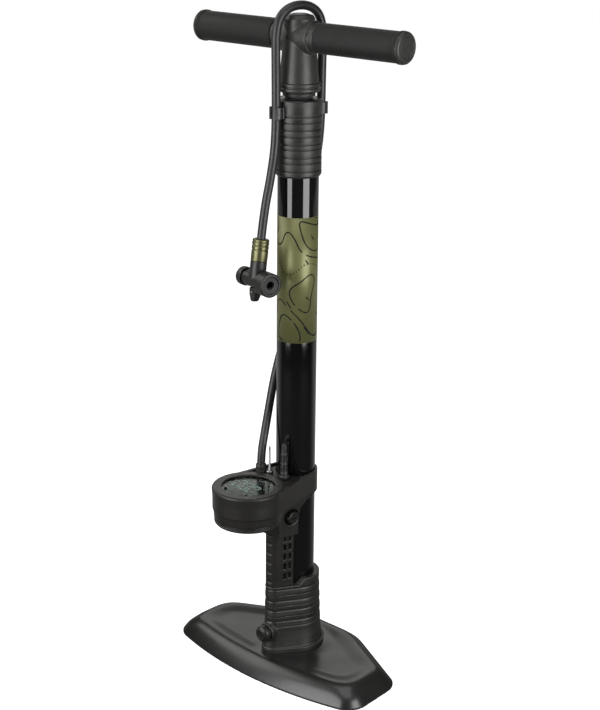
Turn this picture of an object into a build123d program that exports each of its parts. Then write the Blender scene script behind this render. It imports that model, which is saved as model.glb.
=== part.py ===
from build123d import *
import os
from math import cos, sin, tan, radians, hypot

os.makedirs("parts", exist_ok=True)

# ---------------------------------------------------------------------------
# Floor bicycle pump.  Millimetres, +Z up.  Origin on the floor, on the axis of
# the pump barrel.  The handle runs along X (turned a little about the rod, as
# it was left), the gauge looks up at the front, on the -Y side.
# ---------------------------------------------------------------------------

# --- barrel and plunger
BARREL_R = 20.0          # outside radius of the steel barrel
BARREL_IR = 18.8         # bore of the barrel
BARREL_Z0, BARREL_Z1 = 24.0, 583.0
ROD_R = 6.0
ROD_Z0, ROD_Z1 = 40.5, 636.0
PISTON_Z0, PISTON_Z1 = 51.0, 66.0
STROKE = 450.0           # travel of the plunger, for reference

# --- base
BASE_H = 18.4            # plateau of the pressed steel plate
SKIRT = 16.6             # how far the sloped skirt comes in
STEEL_T = 2.0
TRIM_H = 2.0             # rubber edge strip under the skirt

# --- upper cap and handle
CAP_Z0, CAP_Z1, CAP_R = 517.5, 591.0, 22.2
HUB_Z0, HUB_Z1 = 606.0, 668.0
GRIP_Z = 648.7
GRIP_R = 14.27
GRIP_L = 123.0           # rod axis to the end of a grip
HANDLE_YAW = 2.0         # degrees, how the handle was left turned on the rod
CORE_R = 9.0

# --- gauge head
DECK_Z = 214.0
GAUGE_Y = -69.3
BOWL_R_TOP, BOWL_R_LOW = 36.5, 34.2
BOWL_Z0 = 180.0
DISPLAY_R = 26.3
CLAMP_Y, CLAMP_Z = -24.5, 171.0

# --- hose and clips
HOSE_R = 4.25
HOSE_RHO = 27.5          # hose axis from the barrel axis in the clips
CLIP_ANG = 82.0          # direction of the rear clip about Z; the front one is opposite
CLIP_Z0, CLIP_Z1 = 574.0, 585.0
SPLIT_Z = 590.0          # where the parked loop is cut from the two hanging lengths
CX, CY = cos(radians(CLIP_ANG)), sin(radians(CLIP_ANG))

# --- valve head (at the hanging end of the hose)
HEAD_C = Vector(-8.0, -49.0, 420.4)
HEAD_UP = Vector(0.020, 0.125, 0.992).normalized()
HEAD_X = Vector(0.974, -0.222, -0.037)
HEAD_X = (HEAD_X - HEAD_UP * HEAD_X.dot(HEAD_UP)).normalized()
HEAD_Y = HEAD_UP.cross(HEAD_X)
STEM_TOP = 19.5          # ferrule starts here, along the stem
FERRULE_TOP = 41.0


def at(dx, dy, dz):
    """Point given in the valve head's own axes."""
    return HEAD_C + HEAD_X * dx + HEAD_Y * dy + HEAD_UP * dz


def cross_plane(dx):
    """Plane square to the two chucks' common axis, dx along it."""
    return Plane(origin=at(dx, 0, 0), x_dir=HEAD_Y, z_dir=HEAD_X)


def stem_plane(dz):
    return Plane(origin=at(0, 0, dz), x_dir=HEAD_X, z_dir=HEAD_UP)


def done(builder, name):
    builder.part.label = name
    export_step(builder.part, "parts/" + name + ".step")


# ===========================================================================
# BASE
# ===========================================================================
def base_outline(plane, inset=0.0):
    with BuildSketch(plane) as s:
        with BuildLine():
            ThreePointArc((-126.2, -49.5), (0, -69.7), (126.2, -49.5))
            Polyline((126.2, -49.5), (124.0, 19.8), (40.2, 64.2), (-40.2, 64.2), (-124.0, 19.8), (-126.2, -49.5))
        make_face()
        fillet(s.vertices(), 23.0)
        if inset:
            offset(amount=-inset, kind=Kind.ARC)
    return s


with BuildPart() as base_plate:
    lower = base_outline(Plane.XY.offset(TRIM_H))
    upper = base_outline(Plane.XY.offset(BASE_H), SKIRT)
    loft(sections=[lower.sketch, upper.sketch], ruled=True)
    lower_in = base_outline(Plane.XY.offset(TRIM_H), STEEL_T + 0.6)
    upper_in = base_outline(Plane.XY.offset(BASE_H - STEEL_T), SKIRT + STEEL_T + 0.3)
    loft(sections=[lower_in.sketch, upper_in.sketch], ruled=True, mode=Mode.SUBTRACT)
    # shallow dished panel, pressed into the plateau
    extrude(base_outline(Plane.XY.offset(BASE_H), SKIRT + 9.0).sketch, amount=-0.6, mode=Mode.SUBTRACT)
    # three bolt holes up into the foot sleeve
    with PolarLocations(24.4, 3, start_angle=90):
        Hole(2.2)
done(base_plate, "base_plate")

PLATE_TOP = BASE_H - 0.6

with BuildPart() as base_edge_trim:
    extrude(base_outline(Plane.XY).sketch, amount=TRIM_H)
    extrude(base_outline(Plane.XY, 7.0).sketch, amount=TRIM_H, mode=Mode.SUBTRACT)
done(base_edge_trim, "base_edge_trim")

# ===========================================================================
# FOOT SLEEVE, holds the barrel, the check valve and the column
# ===========================================================================
VALVE_Z = 41.0
VALVE_SEAT_Y = -23.0
with BuildPart() as foot_sleeve:
    with BuildSketch(Plane.XY.offset(PLATE_TOP)) as fs1:
        Circle(29.5)
        with Locations((0, -30.0)):
            Circle(12.5)
        make_hull()
    with BuildSketch(Plane.XY.offset(40)) as fs2:
        Circle(27.6)
        with Locations((0, -30.0)):
            Circle(10.8)
        make_hull()
    with BuildSketch(Plane.XY.offset(99)) as fs3:
        Circle(25.6)
        with Locations((0, -30.2)):
            Circle(9.6)
        make_hull()
    loft(sections=[fs1.sketch, fs2.sketch], ruled=True)
    loft(sections=[fs2.sketch, fs3.sketch], ruled=True)
    # flange bead on the base
    with BuildSketch(Plane.XY.offset(PLATE_TOP)):
        Circle(31.5)
        with Locations((0, -29.4)):
            Circle(14.0)
        make_hull()
    extrude(amount=5.0)
    # boss round the check valve
    with BuildSketch(Plane(origin=(0, -30, VALVE_Z), x_dir=(1, 0, 0), z_dir=(0, -1, 0))):
        Circle(9.6)
    extrude(amount=13.0)
    # top edge rises towards the back
    with BuildSketch(Plane.YZ.offset(-60)):
        Polygon((-60, 92), (-15, 92), (-9, 98.6), (40, 98.6), (40, 140), (-60, 140), align=None)
    extrude(amount=120, mode=Mode.SUBTRACT)
    # socket for the barrel
    with BuildSketch(Plane.XY.offset(20.0)):
        Circle(BARREL_R)
    extrude(amount=90, mode=Mode.SUBTRACT)
    # check valve: seat hole and chamber, along -Y
    with BuildSketch(Plane(origin=(0, -16, VALVE_Z), x_dir=(1, 0, 0), z_dir=(0, -1, 0))):
        Circle(3.0)
    extrude(amount=20, mode=Mode.SUBTRACT)
    with BuildSketch(Plane(origin=(0, VALVE_SEAT_Y, VALVE_Z), x_dir=(1, 0, 0), z_dir=(0, -1, 0))):
        Circle(5.0)
    extrude(amount=30, mode=Mode.SUBTRACT)
    # air passage up to the column
    with BuildSketch(Plane.XY.offset(VALVE_Z)):
        with Locations((0, -31.5)):
            Circle(1.8)
    extrude(amount=70, mode=Mode.SUBTRACT)
    # pilot holes for the three base bolts
    with BuildSketch(Plane.XY.offset(PLATE_TOP)):
        with PolarLocations(24.4, 3, start_angle=90):
            Circle(2.0)
    extrude(amount=16, mode=Mode.SUBTRACT)
    # shallow grip grooves round the sleeve
    for zg in (52, 64, 75, 88):
        with BuildSketch(Plane.XY.offset(zg)):
            Circle(40)
            with Locations((0, -30.0)):
                Circle(30)
            make_hull()
            Circle(25.7 - (zg - 47) * 0.012, mode=Mode.SUBTRACT)
            with BuildSketch(Plane.XY.offset(zg), mode=Mode.PRIVATE) as keep:
                Circle(26.6 - (zg - 47) * 0.030)
                with Locations((0, -30.0)):
                    Circle(10.0 - (zg - 47) * 0.015)
                make_hull()
            add(keep.sketch, mode=Mode.SUBTRACT)
        extrude(amount=1.6, mode=Mode.SUBTRACT)
done(foot_sleeve, "foot_sleeve")

with BuildPart() as base_bolts:
    with BuildSketch(Plane.XY.offset(PLATE_TOP - 1.4 - 3.4)) as heads:
        with PolarLocations(24.4, 3, start_angle=90):
            RegularPolygon(4.0, 6)
    extrude(amount=3.4)
    with BuildSketch(Plane.XY.offset(PLATE_TOP - 1.4)) as shanks:
        with PolarLocations(24.4, 3, start_angle=90):
            Circle(2.0)
    extrude(amount=1.4 + 14.0)
done(base_bolts, "base_bolts")

with BuildPart() as check_valve_cap:
    # spigot in the chamber, turned knob outside
    with BuildSketch(Plane(origin=(0, -38.5, VALVE_Z), x_dir=(1, 0, 0), z_dir=(0, -1, 0))):
        Circle(5.0)
    extrude(amount=4.5)
    with BuildSketch(Plane(origin=(0, -43.0, VALVE_Z), x_dir=(1, 0, 0), z_dir=(0, -1, 0))):
        Circle(8.7)
    extrude(amount=9.5)
    fillet(check_valve_cap.faces().sort_by(Axis.Y)[0].edges(), 3.2)
    with BuildSketch(Plane(origin=(0, -52.5, VALVE_Z), x_dir=(1, 0, 0), z_dir=(0, 1, 0))):
        Rectangle(9.0, 1.6)
    extrude(amount=1.6, mode=Mode.SUBTRACT)
done(check_valve_cap, "check_valve_cap")

with BuildPart() as check_valve_ball:
    with BuildSketch(Plane(origin=(0, -25.75, VALVE_Z), x_dir=(0, 1, 0), z_dir=(1, 0, 0))):
        with BuildLine():
            l = Line((-4.0, 0), (4.0, 0))
            ThreePointArc(l @ 1, (0, 4.0), l @ 0)
        make_face()
    revolve(axis=Axis((0, -25.75, VALVE_Z), (0, 1, 0)))
done(check_valve_ball, "check_valve_ball")

with BuildPart() as check_valve_spring:
    with BuildSketch(Plane(origin=(0, -30.2, VALVE_Z), x_dir=(1, 0, 0), z_dir=(0, -1, 0))):
        Circle(4.0)
        Circle(3.2, mode=Mode.SUBTRACT)
    extrude(amount=8.3)
done(check_valve_spring, "check_valve_spring")

# ===========================================================================
# BARREL
# ===========================================================================
with BuildPart() as barrel:
    with BuildSketch(Plane.XY.offset(BARREL_Z0)):
        Circle(BARREL_R)
        Circle(BARREL_IR, mode=Mode.SUBTRACT)
    extrude(amount=BARREL_Z1 - BARREL_Z0)
    # air port to the check valve
    with BuildSketch(Plane(origin=(0, -10, VALVE_Z), x_dir=(1, 0, 0), z_dir=(0, -1, 0))):
        Circle(3.0)
    extrude(amount=14, mode=Mode.SUBTRACT)
done(barrel, "barrel")

with BuildPart() as barrel_foot_plug:
    with BuildSketch(Plane.XY.offset(20.0)):
        Circle(BARREL_R)
    extrude(amount=4.0)
    with BuildSketch(Plane.XY.offset(24.0)):
        Circle(BARREL_IR)
    extrude(amount=12.0)
    # groove for the sealing ring
    with BuildSketch(Plane.XY.offset(28.5)):
        Circle(BARREL_IR + 1)
        Circle(BARREL_IR - 2.4, mode=Mode.SUBTRACT)
    extrude(amount=3.0, mode=Mode.SUBTRACT)
done(barrel_foot_plug, "barrel_foot_plug")

with BuildPart() as barrel_foot_oring:
    with BuildSketch(Plane.XZ):
        with Locations((BARREL_IR - 1.2, 30.0)):
            Circle(1.2)
    revolve(axis=Axis.Z)
done(barrel_foot_oring, "barrel_foot_oring")

# ===========================================================================
# UPPER CAP with the two hose clips
# ===========================================================================
with BuildPart() as upper_cap:
    with BuildSketch(Plane.XY.offset(CAP_Z0)):
        Circle(CAP_R)
    extrude(amount=CAP_Z1 - CAP_Z0)
    fillet(upper_cap.edges().group_by(Axis.Z)[-1], 2.0)
    fillet(upper_cap.edges().group_by(Axis.Z)[0], 1.6)
    # rib grooves
    for zg in (524.5, 530.5, 538.0, 544.0, 551.5, 557.5, 565.0):
        with BuildSketch(Plane.XY.offset(zg)):
            Circle(CAP_R + 2)
            Circle(CAP_R - 0.7, mode=Mode.SUBTRACT)
        extrude(amount=1.3, mode=Mode.SUBTRACT)
    # C clips, mouths outward
    with BuildSketch(Plane.XY.offset(CLIP_Z0)):
        with Locations((HOSE_RHO * CX, HOSE_RHO * CY), (-HOSE_RHO * CX, -HOSE_RHO * CY)):
            Circle(6.5)
        with PolarLocations(HOSE_RHO - 4.6, 2, start_angle=CLIP_ANG):
            Rectangle(5.0, 9.0)
    extrude(amount=CLIP_Z1 - CLIP_Z0)
    with BuildSketch(Plane.XY.offset(CLIP_Z0)):
        with Locations((HOSE_RHO * CX, HOSE_RHO * CY), (-HOSE_RHO * CX, -HOSE_RHO * CY)):
            Circle(HOSE_R + 0.2)
        with PolarLocations(HOSE_RHO + 5.0, 2, start_angle=CLIP_ANG):
            Rectangle(8.0, 6.6)
    extrude(amount=CLIP_Z1 - CLIP_Z0, mode=Mode.SUBTRACT)
    # socket for the barrel, seat for the bush
    with BuildSketch(Plane.XY.offset(CAP_Z0)):
        Circle(BARREL_R)
    extrude(amount=BARREL_Z1 - CAP_Z0, mode=Mode.SUBTRACT)
    with BuildSketch(Plane.XY.offset(BARREL_Z1)):
        Circle(12.6)
    extrude(amount=20, mode=Mode.SUBTRACT)
done(upper_cap, "upper_cap")

with BuildPart() as rod_bush:
    with BuildSketch(Plane.XZ):
        Polygon((ROD_R + 0.05, 570), (BARREL_IR, 570), (BARREL_IR, 583), (12.6, 583), (12.6, 596.2), (11.8, 597.0), (ROD_R + 0.05, 597.0), align=None)
    revolve(axis=Axis.Z)
    # groove for the wiper
    with BuildSketch(Plane.XZ):
        Polygon((ROD_R - 1, 590.5), (ROD_R + 2.4, 590.5), (ROD_R + 2.4, 593.5), (ROD_R - 1, 593.5), align=None)
    revolve(axis=Axis.Z, mode=Mode.SUBTRACT)
done(rod_bush, "rod_bush")

with BuildPart() as rod_wiper:
    with BuildSketch(Plane.XZ):
        Polygon((ROD_R + 0.1, 590.6), (ROD_R + 2.3, 590.6), (ROD_R + 2.3, 593.4), (ROD_R + 0.9, 593.4), (ROD_R + 0.1, 592.4), align=None)
    revolve(axis=Axis.Z)
done(rod_wiper, "rod_wiper")

# ===========================================================================
# COLUMN under the gauge
# ===========================================================================
COL_Z0, COL_Z1 = 92.0, 150.0
with BuildPart() as air_column:
    with BuildSketch(Plane.XY.offset(COL_Z0)):
        with Locations((0, -30.2)):
            Circle(9.5)
        with Locations((-12.6, -17.6), (12.6, -17.6)):
            Circle(1.5)
        make_hull()
        Circle(BARREL_R + 0.3, mode=Mode.SUBTRACT)
    extrude(amount=COL_Z1 - COL_Z0)
    # finger ridges down the front
    with BuildSketch(Plane.YZ.offset(-20)):
        for zr in (98.0, 108.8, 119.6, 130.4, 141.2):
            with Locations((-41.7, zr)):
                Circle(3.0)
    extrude(amount=40, mode=Mode.SUBTRACT)
    # moulding pockets in the two flanks
    for sx in (-1, 1):
        with BuildSketch(Plane(origin=(sx * 20, 0, 0), x_dir=(0, 1, 0), z_dir=(sx, 0, 0)).offset(-7.5)):
            for zr in (103.0, 113.5, 124.5, 135.0, 144.5):
                with Locations((-26.8, zr)):
                    Rectangle(3.2, 5.4)
                with Locations((-22.4, zr)):
                    Rectangle(3.2, 5.4)
        extrude(amount=12, mode=Mode.SUBTRACT)
    with BuildSketch(Plane.XY.offset(COL_Z0)):
        with Locations((0, -31.5)):
            Circle(1.8)
    extrude(amount=COL_Z1 - COL_Z0, mode=Mode.SUBTRACT)
done(air_column, "air_column")

# ===========================================================================
# GAUGE HEAD
# ===========================================================================
HOSE_FOOT = (-20.0, -30.0)
NEEDLE = (-11.0, -26.9)
NOZZLE = (9.5, -27.6)
BUTTON_A = (-13.8, -87.4)
BUTTON_B = (13.8, -87.4)

with BuildPart() as gauge_housing:
    # neck round the barrel, down to the column
    with BuildSketch(Plane.XY.offset(COL_Z1)):
        Circle(22.5)
        with Locations((0, -32.0)):
            Circle(15.5)
        make_hull()
    extrude(amount=DECK_Z - COL_Z1)
    with BuildSketch(Plane.YZ.offset(-60)):
        Polygon((40, 190), (6, 190), (-6, 185.5), (-13, 178.5), (-15.2, 172), (-16, 164), (-16, 140), (40, 140), align=None)
        Polygon((-70, 140), (-70, 178), (-44, 178), (-40, 165), (-38.5, 150), (-38.5, 140), align=None)
    extrude(amount=120, mode=Mode.SUBTRACT)
    # deck: common tangents of the barrel collar and the gauge bowl
    with BuildSketch(Plane.XY.offset(192)):
        Circle(22.5)
        with Locations((0, GAUGE_Y)):
            Circle(BOWL_R_TOP - 0.6)
        make_hull()
    extrude(amount=DECK_Z - 192)
    # bowl
    with BuildSketch(Plane.XY.offset(BOWL_Z0)) as b0:
        with Locations((0, GAUGE_Y)):
            Circle(BOWL_R_LOW)
    with BuildSketch(Plane.XY.offset(DECK_Z)) as b1:
        with Locations((0, GAUGE_Y)):
            Circle(BOWL_R_TOP)
    loft(sections=[b0.sketch, b1.sketch])
    # dropped deck panel behind the bezel
    with BuildSketch(Plane.XY.offset(DECK_Z - 2.0)):
        Circle(19.4)
        with Locations((0, -42.0)):
            Circle(26.5)
        make_hull()
        with Locations((0, GAUGE_Y)):
            Circle(BOWL_R_TOP, mode=Mode.SUBTRACT)
    extrude(amount=4, mode=Mode.SUBTRACT)
    # chamber for the works, open below
    with BuildSketch(Plane.XY.offset(BOWL_Z0)):
        with Locations((0, GAUGE_Y)):
            Circle(31.6)
    extrude(amount=207.0 - BOWL_Z0, mode=Mode.SUBTRACT)
    # display opening
    with BuildSketch(Plane.XY.offset(200)):
        with Locations((0, GAUGE_Y)):
            Circle(29.0)
    extrude(amount=20, mode=Mode.SUBTRACT)
    # barrel bore
    with BuildSketch(Plane.XY.offset(140)):
        Circle(BARREL_R)
    extrude(amount=90, mode=Mode.SUBTRACT)
    # sockets in the deck
    with BuildSketch(Plane.XY.offset(DECK_Z - 2.0)):
        with Locations(HOSE_FOOT):
            Circle(5.6)
    extrude(amount=6, mode=Mode.SUBTRACT)
    with BuildSketch(Plane.XY.offset(200)):
        with Locations(HOSE_FOOT):
            Circle(4.6)
    extrude(amount=20, mode=Mode.SUBTRACT)
    with BuildSketch(Plane.XY.offset(203.5)):
        with Locations(NEEDLE):
            Circle(3.0)
        with Locations(NOZZLE):
            Circle(3.9)
    extrude(amount=12, mode=Mode.SUBTRACT)
    # clamp bolt: hole and round recess each side
    with BuildSketch(Plane(origin=(-30, CLAMP_Y, CLAMP_Z), x_dir=(0, 1, 0), z_dir=(1, 0, 0))):
        Circle(2.6)
    extrude(amount=60, mode=Mode.SUBTRACT)
    for sx in (-1, 1):
        with BuildSketch(Plane(origin=(sx * 12.5, CLAMP_Y, CLAMP_Z), x_dir=(0, 1, 0), z_dir=(sx, 0, 0))):
            Circle(8.6)
        extrude(amount=20, mode=Mode.SUBTRACT)
    # air passage
    with BuildSketch(Plane.XY.offset(COL_Z1)):
        with Locations((0, -31.5)):
            Circle(1.8)
    extrude(amount=45, mode=Mode.SUBTRACT)
done(gauge_housing, "gauge_housing")

with BuildPart() as gauge_bottom_cover:
    with BuildSketch(Plane.XY.offset(BOWL_Z0 - 3.0)) as c0:
        with Locations((0, GAUGE_Y)):
            Circle(BOWL_R_LOW)
    extrude(amount=3.0)
    with BuildSketch(Plane.XY.offset(BOWL_Z0)):
        with Locations((0, GAUGE_Y)):
            Circle(31.4)
            Circle(29.4, mode=Mode.SUBTRACT)
    extrude(amount=3.0)
    fillet(gauge_bottom_cover.edges().group_by(Axis.Z)[0], 1.4)
    # opening for the battery door, notch for the neck, holes for three screws
    with BuildSketch(Plane.XY.offset(BOWL_Z0 - 3.0)):
        with Locations((0, -39.9)):
            Rectangle(36.0, 16.6)
        with Locations((0, GAUGE_Y)):
            Circle(14.0)
        with Locations((0, GAUGE_Y)):
            with PolarLocations(24.0, 3, start_angle=30):
                Circle(1.55)
    extrude(amount=10, mode=Mode.SUBTRACT)
done(gauge_bottom_cover, "gauge_bottom_cover")

with BuildPart() as gauge_cover_screws:
    with BuildSketch(Plane.XY.offset(BOWL_Z0 - 3.0 - 1.6)):
        with Locations((0, GAUGE_Y)):
            with PolarLocations(24.0, 3, start_angle=30):
                Circle(2.8)
    extrude(amount=1.6)
    with BuildSketch(Plane.XY.offset(BOWL_Z0 - 3.0)):
        with Locations((0, GAUGE_Y)):
            with PolarLocations(24.0, 3, start_angle=30):
                Circle(1.5)
    extrude(amount=9.0)
done(gauge_cover_screws, "gauge_cover_screws")

with BuildPart() as battery_cover:
    with BuildSketch(Plane.XY.offset(BOWL_Z0 - 3.0)):
        with Locations((0, GAUGE_Y)):
            Circle(13.9)
    extrude(amount=2.6)
    with BuildSketch(Plane.XY.offset(BOWL_Z0 - 3.0)):
        with Locations((0, GAUGE_Y)):
            Rectangle(16, 2.0)
    extrude(amount=1.2, mode=Mode.SUBTRACT)
done(battery_cover, "battery_cover")

with BuildPart() as coin_cell:
    with BuildSketch(Plane.XY.offset(BOWL_Z0)):
        with Locations((0, GAUGE_Y)):
            Circle(12.25)
    extrude(amount=5.0)
    fillet(coin_cell.edges().group_by(Axis.Z)[0], 0.6)
done(coin_cell, "coin_cell")

with BuildPart() as gauge_board:
    with BuildSketch(Plane.XY.offset(190.0)):
        with Locations((0, GAUGE_Y)):
            Circle(30.5)
    extrude(amount=1.6)
done(gauge_board, "gauge_board")

with BuildPart() as pressure_sensor:
    with BuildSketch(Plane.XY.offset(191.6)):
        with Locations((0, -52.0)):
            Rectangle(9, 9)
    extrude(amount=3.5)
    with BuildSketch(Plane.XY.offset(195.1)):
        with Locations((0, -52.0)):
            Circle(2.5)
    extrude(amount=3.5)
done(pressure_sensor, "pressure_sensor")

with BuildPart() as lcd_panel:
    with BuildSketch(Plane.XY.offset(205.2)):
        with Locations((0, GAUGE_Y + 1.5)):
            Rectangle(44, 30)

    extrude(amount=2.0)
done(lcd_panel, "lcd_panel")

with BuildPart() as gauge_lens:
    with BuildSketch(Plane.XY.offset(208.0)):
        with Locations((0, GAUGE_Y)):
            Circle(28.8)
        with Locations(BUTTON_A, BUTTON_B):
            Circle(1.9, mode=Mode.SUBTRACT)
    extrude(amount=1.6)
done(gauge_lens, "gauge_lens")

with BuildPart() as gauge_bezel:
    with BuildSketch(Plane.XY.offset(209.6)) as z0:
        with Locations((0, GAUGE_Y)):
            Circle(29.0)
            Circle(DISPLAY_R, mode=Mode.SUBTRACT)
    extrude(amount=DECK_Z - 209.6)
    with BuildSketch(Plane.XY.offset(DECK_Z)):
        with Locations((0, GAUGE_Y)):
            Circle(34.6)
            Circle(DISPLAY_R, mode=Mode.SUBTRACT)
    extrude(amount=1.2)
    chamfer(gauge_bezel.edges().group_by(Axis.Z)[-1], 0.8)
done(gauge_bezel, "gauge_bezel")

for bname, bpos in (("mode_button", BUTTON_A), ("unit_button", BUTTON_B)):
    with BuildPart() as button:
        with BuildSketch(Plane.XY.offset(206.4)):
            with Locations(bpos):
                Circle(1.55)
        extrude(amount=4.0)
        with BuildSketch(Plane.XY.offset(206.4)):
            with Locations(bpos):
                Circle(2.6)
        extrude(amount=1.2)
        fillet(button.edges().group_by(Axis.Z)[-1], 0.4)
    done(button, bname)

with BuildPart() as clamp_bolt:
    with BuildSketch(Plane(origin=(-16.5, CLAMP_Y, CLAMP_Z), x_dir=(0, 1, 0), z_dir=(1, 0, 0))):
        Circle(2.5)
    extrude(amount=29.0)
    with BuildSketch(Plane(origin=(12.5, CLAMP_Y, CLAMP_Z), x_dir=(0, 1, 0), z_dir=(1, 0, 0))):
        Circle(6.8)
    extrude(amount=8.5)
    fillet(clamp_bolt.faces().sort_by(Axis.X)[-1].edges(), 1.2)
    with BuildSketch(Plane(origin=(21.0, CLAMP_Y, CLAMP_Z), x_dir=(0, 1, 0), z_dir=(-1, 0, 0))):
        Rectangle(10, 1.6)
    extrude(amount=1.6, mode=Mode.SUBTRACT)
done(clamp_bolt, "clamp_bolt")

with BuildPart() as clamp_nut:
    with BuildSketch(Plane(origin=(-16.5, CLAMP_Y, CLAMP_Z), x_dir=(0, 1, 0), z_dir=(1, 0, 0))):
        RegularPolygon(4.6, 6)
        Circle(2.5, mode=Mode.SUBTRACT)
    extrude(amount=4.0)
done(clamp_nut, "clamp_nut")

# ===========================================================================
# DECK FITTINGS
# ===========================================================================
with BuildPart() as hose_nipple:
    with BuildSketch(Plane.XY.offset(200.0)):
        with Locations(HOSE_FOOT):
            Circle(4.6)
            Circle(1.5, mode=Mode.SUBTRACT)
    extrude(amount=15.0)
    with BuildSketch(Plane.XY.offset(DECK_Z - 2.0)):
        with Locations(HOSE_FOOT):
            Circle(5.5)
            Circle(4.6, mode=Mode.SUBTRACT)
    extrude(amount=9.0)
done(hose_nipple, "hose_nipple")

with BuildPart() as ball_needle:
    with BuildSketch(Plane.XY.offset(204.0)):
        with Locations(NEEDLE):
            Circle(2.9)
    extrude(amount=8.3)
    with BuildSketch(Plane.XY.offset(212.3)):
        with Locations(NEEDLE):
            RegularPolygon(3.5, 6)
    extrude(amount=3.4)
    with BuildSketch(Plane.XY.offset(215.7)):
        with Locations(NEEDLE):
            Circle(1.0)
    extrude(amount=26.0)
    fillet(ball_needle.edges().group_by(Axis.Z)[-1], 0.8)
    with BuildSketch(Plane.XY.offset(203.0)):
        with Locations(NEEDLE):
            Circle(0.5)
    extrude(amount=34.0, mode=Mode.SUBTRACT)
done(ball_needle, "ball_needle")

with BuildPart() as bladder_nozzle:
    with BuildSketch(Plane.XZ):
        Polygon((0.9, 204.0), (3.8, 204.0), (3.8, 213.0), (5.2, 213.2), (5.2, 216.5), (3.7, 217.5), (2.2, 250.0), (0.9, 250.0), align=None)
    revolve(axis=Axis.Z)
bladder_nozzle.part = bladder_nozzle.part.moved(Location((NOZZLE[0], NOZZLE[1], 0)))
done(bladder_nozzle, "bladder_nozzle")

# ===========================================================================
# PISTON
# ===========================================================================
with BuildPart() as piston_head:
    with BuildSketch(Plane.XZ):
        Polygon((ROD_R - 1.95, PISTON_Z0), (16.8, PISTON_Z0), (18.4, PISTON_Z0 + 1.6), (18.4, PISTON_Z0 + 5), (16.2, PISTON_Z0 + 5), (16.2, PISTON_Z0 + 9), (18.4, PISTON_Z0 + 9),
                (18.4, PISTON_Z1), (8.0, PISTON_Z1), (8.0, PISTON_Z1 + 8.0), (ROD_R + 0.05, PISTON_Z1 + 8.0), (ROD_R + 0.05, PISTON_Z0 + 6), (ROD_R - 1.95, PISTON_Z0 + 6), align=None)
    revolve(axis=Axis.Z)
done(piston_head, "piston_head")

with BuildPart() as piston_seal:
    with BuildSketch(Plane.XZ):
        Polygon((16.2, PISTON_Z0 + 5.0), (BARREL_IR - 0.06, PISTON_Z0 + 5.0), (BARREL_IR - 0.06, PISTON_Z0 + 8.2), (BARREL_IR - 0.6, PISTON_Z0 + 9.0), (16.2, PISTON_Z0 + 9.0), align=None)
    revolve(axis=Axis.Z)
done(piston_seal, "piston_seal")

with BuildPart() as piston_rod:
    with BuildSketch(Plane.XY.offset(PISTON_Z0 + 6.2)):
        Circle(ROD_R)
    extrude(amount=ROD_Z1 - PISTON_Z0 - 6.2)
    with BuildSketch(Plane.XY.offset(ROD_Z0 + 2.5)):
        Circle(ROD_R - 2.0)
    extrude(amount=PISTON_Z0 + 6.2 - ROD_Z0 - 2.5)
done(piston_rod, "piston_rod")

with BuildPart() as piston_nut:
    with BuildSketch(Plane.XY.offset(PISTON_Z0 - 0.3 - 4.5)):
        RegularPolygon(7.5, 6)
        Circle(ROD_R - 2.0, mode=Mode.SUBTRACT)
    extrude(amount=4.5)
done(piston_nut, "piston_nut")

# ===========================================================================
# HANDLE
# ===========================================================================
YX = Vector(cos(radians(HANDLE_YAW)), sin(radians(HANDLE_YAW)), 0)


def handle_plane(x, side=1):
    """Plane square to the handle bar, x along the bar from the rod axis."""
    return Plane(origin=(x * YX.X, x * YX.Y, GRIP_Z), x_dir=(0, 0, 1), z_dir=(side * YX.X, side * YX.Y, 0))


with BuildPart() as handle_hub:
    with BuildSketch(Plane.XZ):
        with BuildLine():
            Polyline((0, HUB_Z0), (18.9, HUB_Z0), (17.3, 625.0), (15.6, 646.0), (14.6, 665.0), (12.6, HUB_Z1), (0, HUB_Z1), (0, HUB_Z0))
        make_face()
    revolve(axis=Axis.Z)
    with BuildSketch(handle_plane(-19.0)):
        Circle(15.6)
    extrude(amount=38.0)
    with BuildSketch(handle_plane(-26.0)):
        Circle(13.4)
    extrude(amount=52.0)
    # through hole for the bar, blind hole for the rod
    with BuildSketch(handle_plane(-60.0)):
        Circle(CORE_R)
    extrude(amount=120.0, mode=Mode.SUBTRACT)
    with BuildSketch(Plane.XY.offset(HUB_Z0 - 1)):
        Circle(ROD_R)
    extrude(amount=ROD_Z1 - HUB_Z0 + 1, mode=Mode.SUBTRACT)
done(handle_hub, "handle_hub")

with BuildPart() as handle_core:
    with BuildSketch(handle_plane(-118.0)):
        Circle(CORE_R)
        Circle(CORE_R - 1.6, mode=Mode.SUBTRACT)
    extrude(amount=236.0)
done(handle_core, "handle_core")

for gname, pname, side in (("grip_left", "grip_plug_left", -1), ("grip_right", "grip_plug_right", 1)):
    with BuildPart() as grip:
        with BuildSketch(handle_plane(side * 26.0, side)):
            Circle(GRIP_R)
        extrude(amount=GRIP_L - 1.5 - 26.0)
        with BuildSketch(handle_plane(side * (GRIP_L - 5.0), side)):
            Circle(GRIP_R + 0.75)
        extrude(amount=3.5)
        with BuildSketch(handle_plane(side * 20.0, side)):
            Circle(CORE_R)
        extrude(amount=120, mode=Mode.SUBTRACT)
    done(grip, gname)
    with BuildPart() as grip_plug:
        with BuildSketch(handle_plane(side * (GRIP_L - 1.5), side)):
            Circle(GRIP_R)
        extrude(amount=3.6)
        fillet(grip_plug.faces().sort_by(Axis(origin=(0, 0, 0), direction=(side * YX.X, side * YX.Y, 0)))[-1].edges(), 2.0)
        with BuildSketch(handle_plane(side * 106.0, side)):
            Circle(CORE_R - 1.7)
        extrude(amount=GRIP_L - 1.5 - 106.0)
        with BuildSketch(handle_plane(side * 118.0, side)):
            Circle(CORE_R)
        extrude(amount=GRIP_L - 1.5 - 118.0)
    done(grip_plug, pname)

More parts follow.
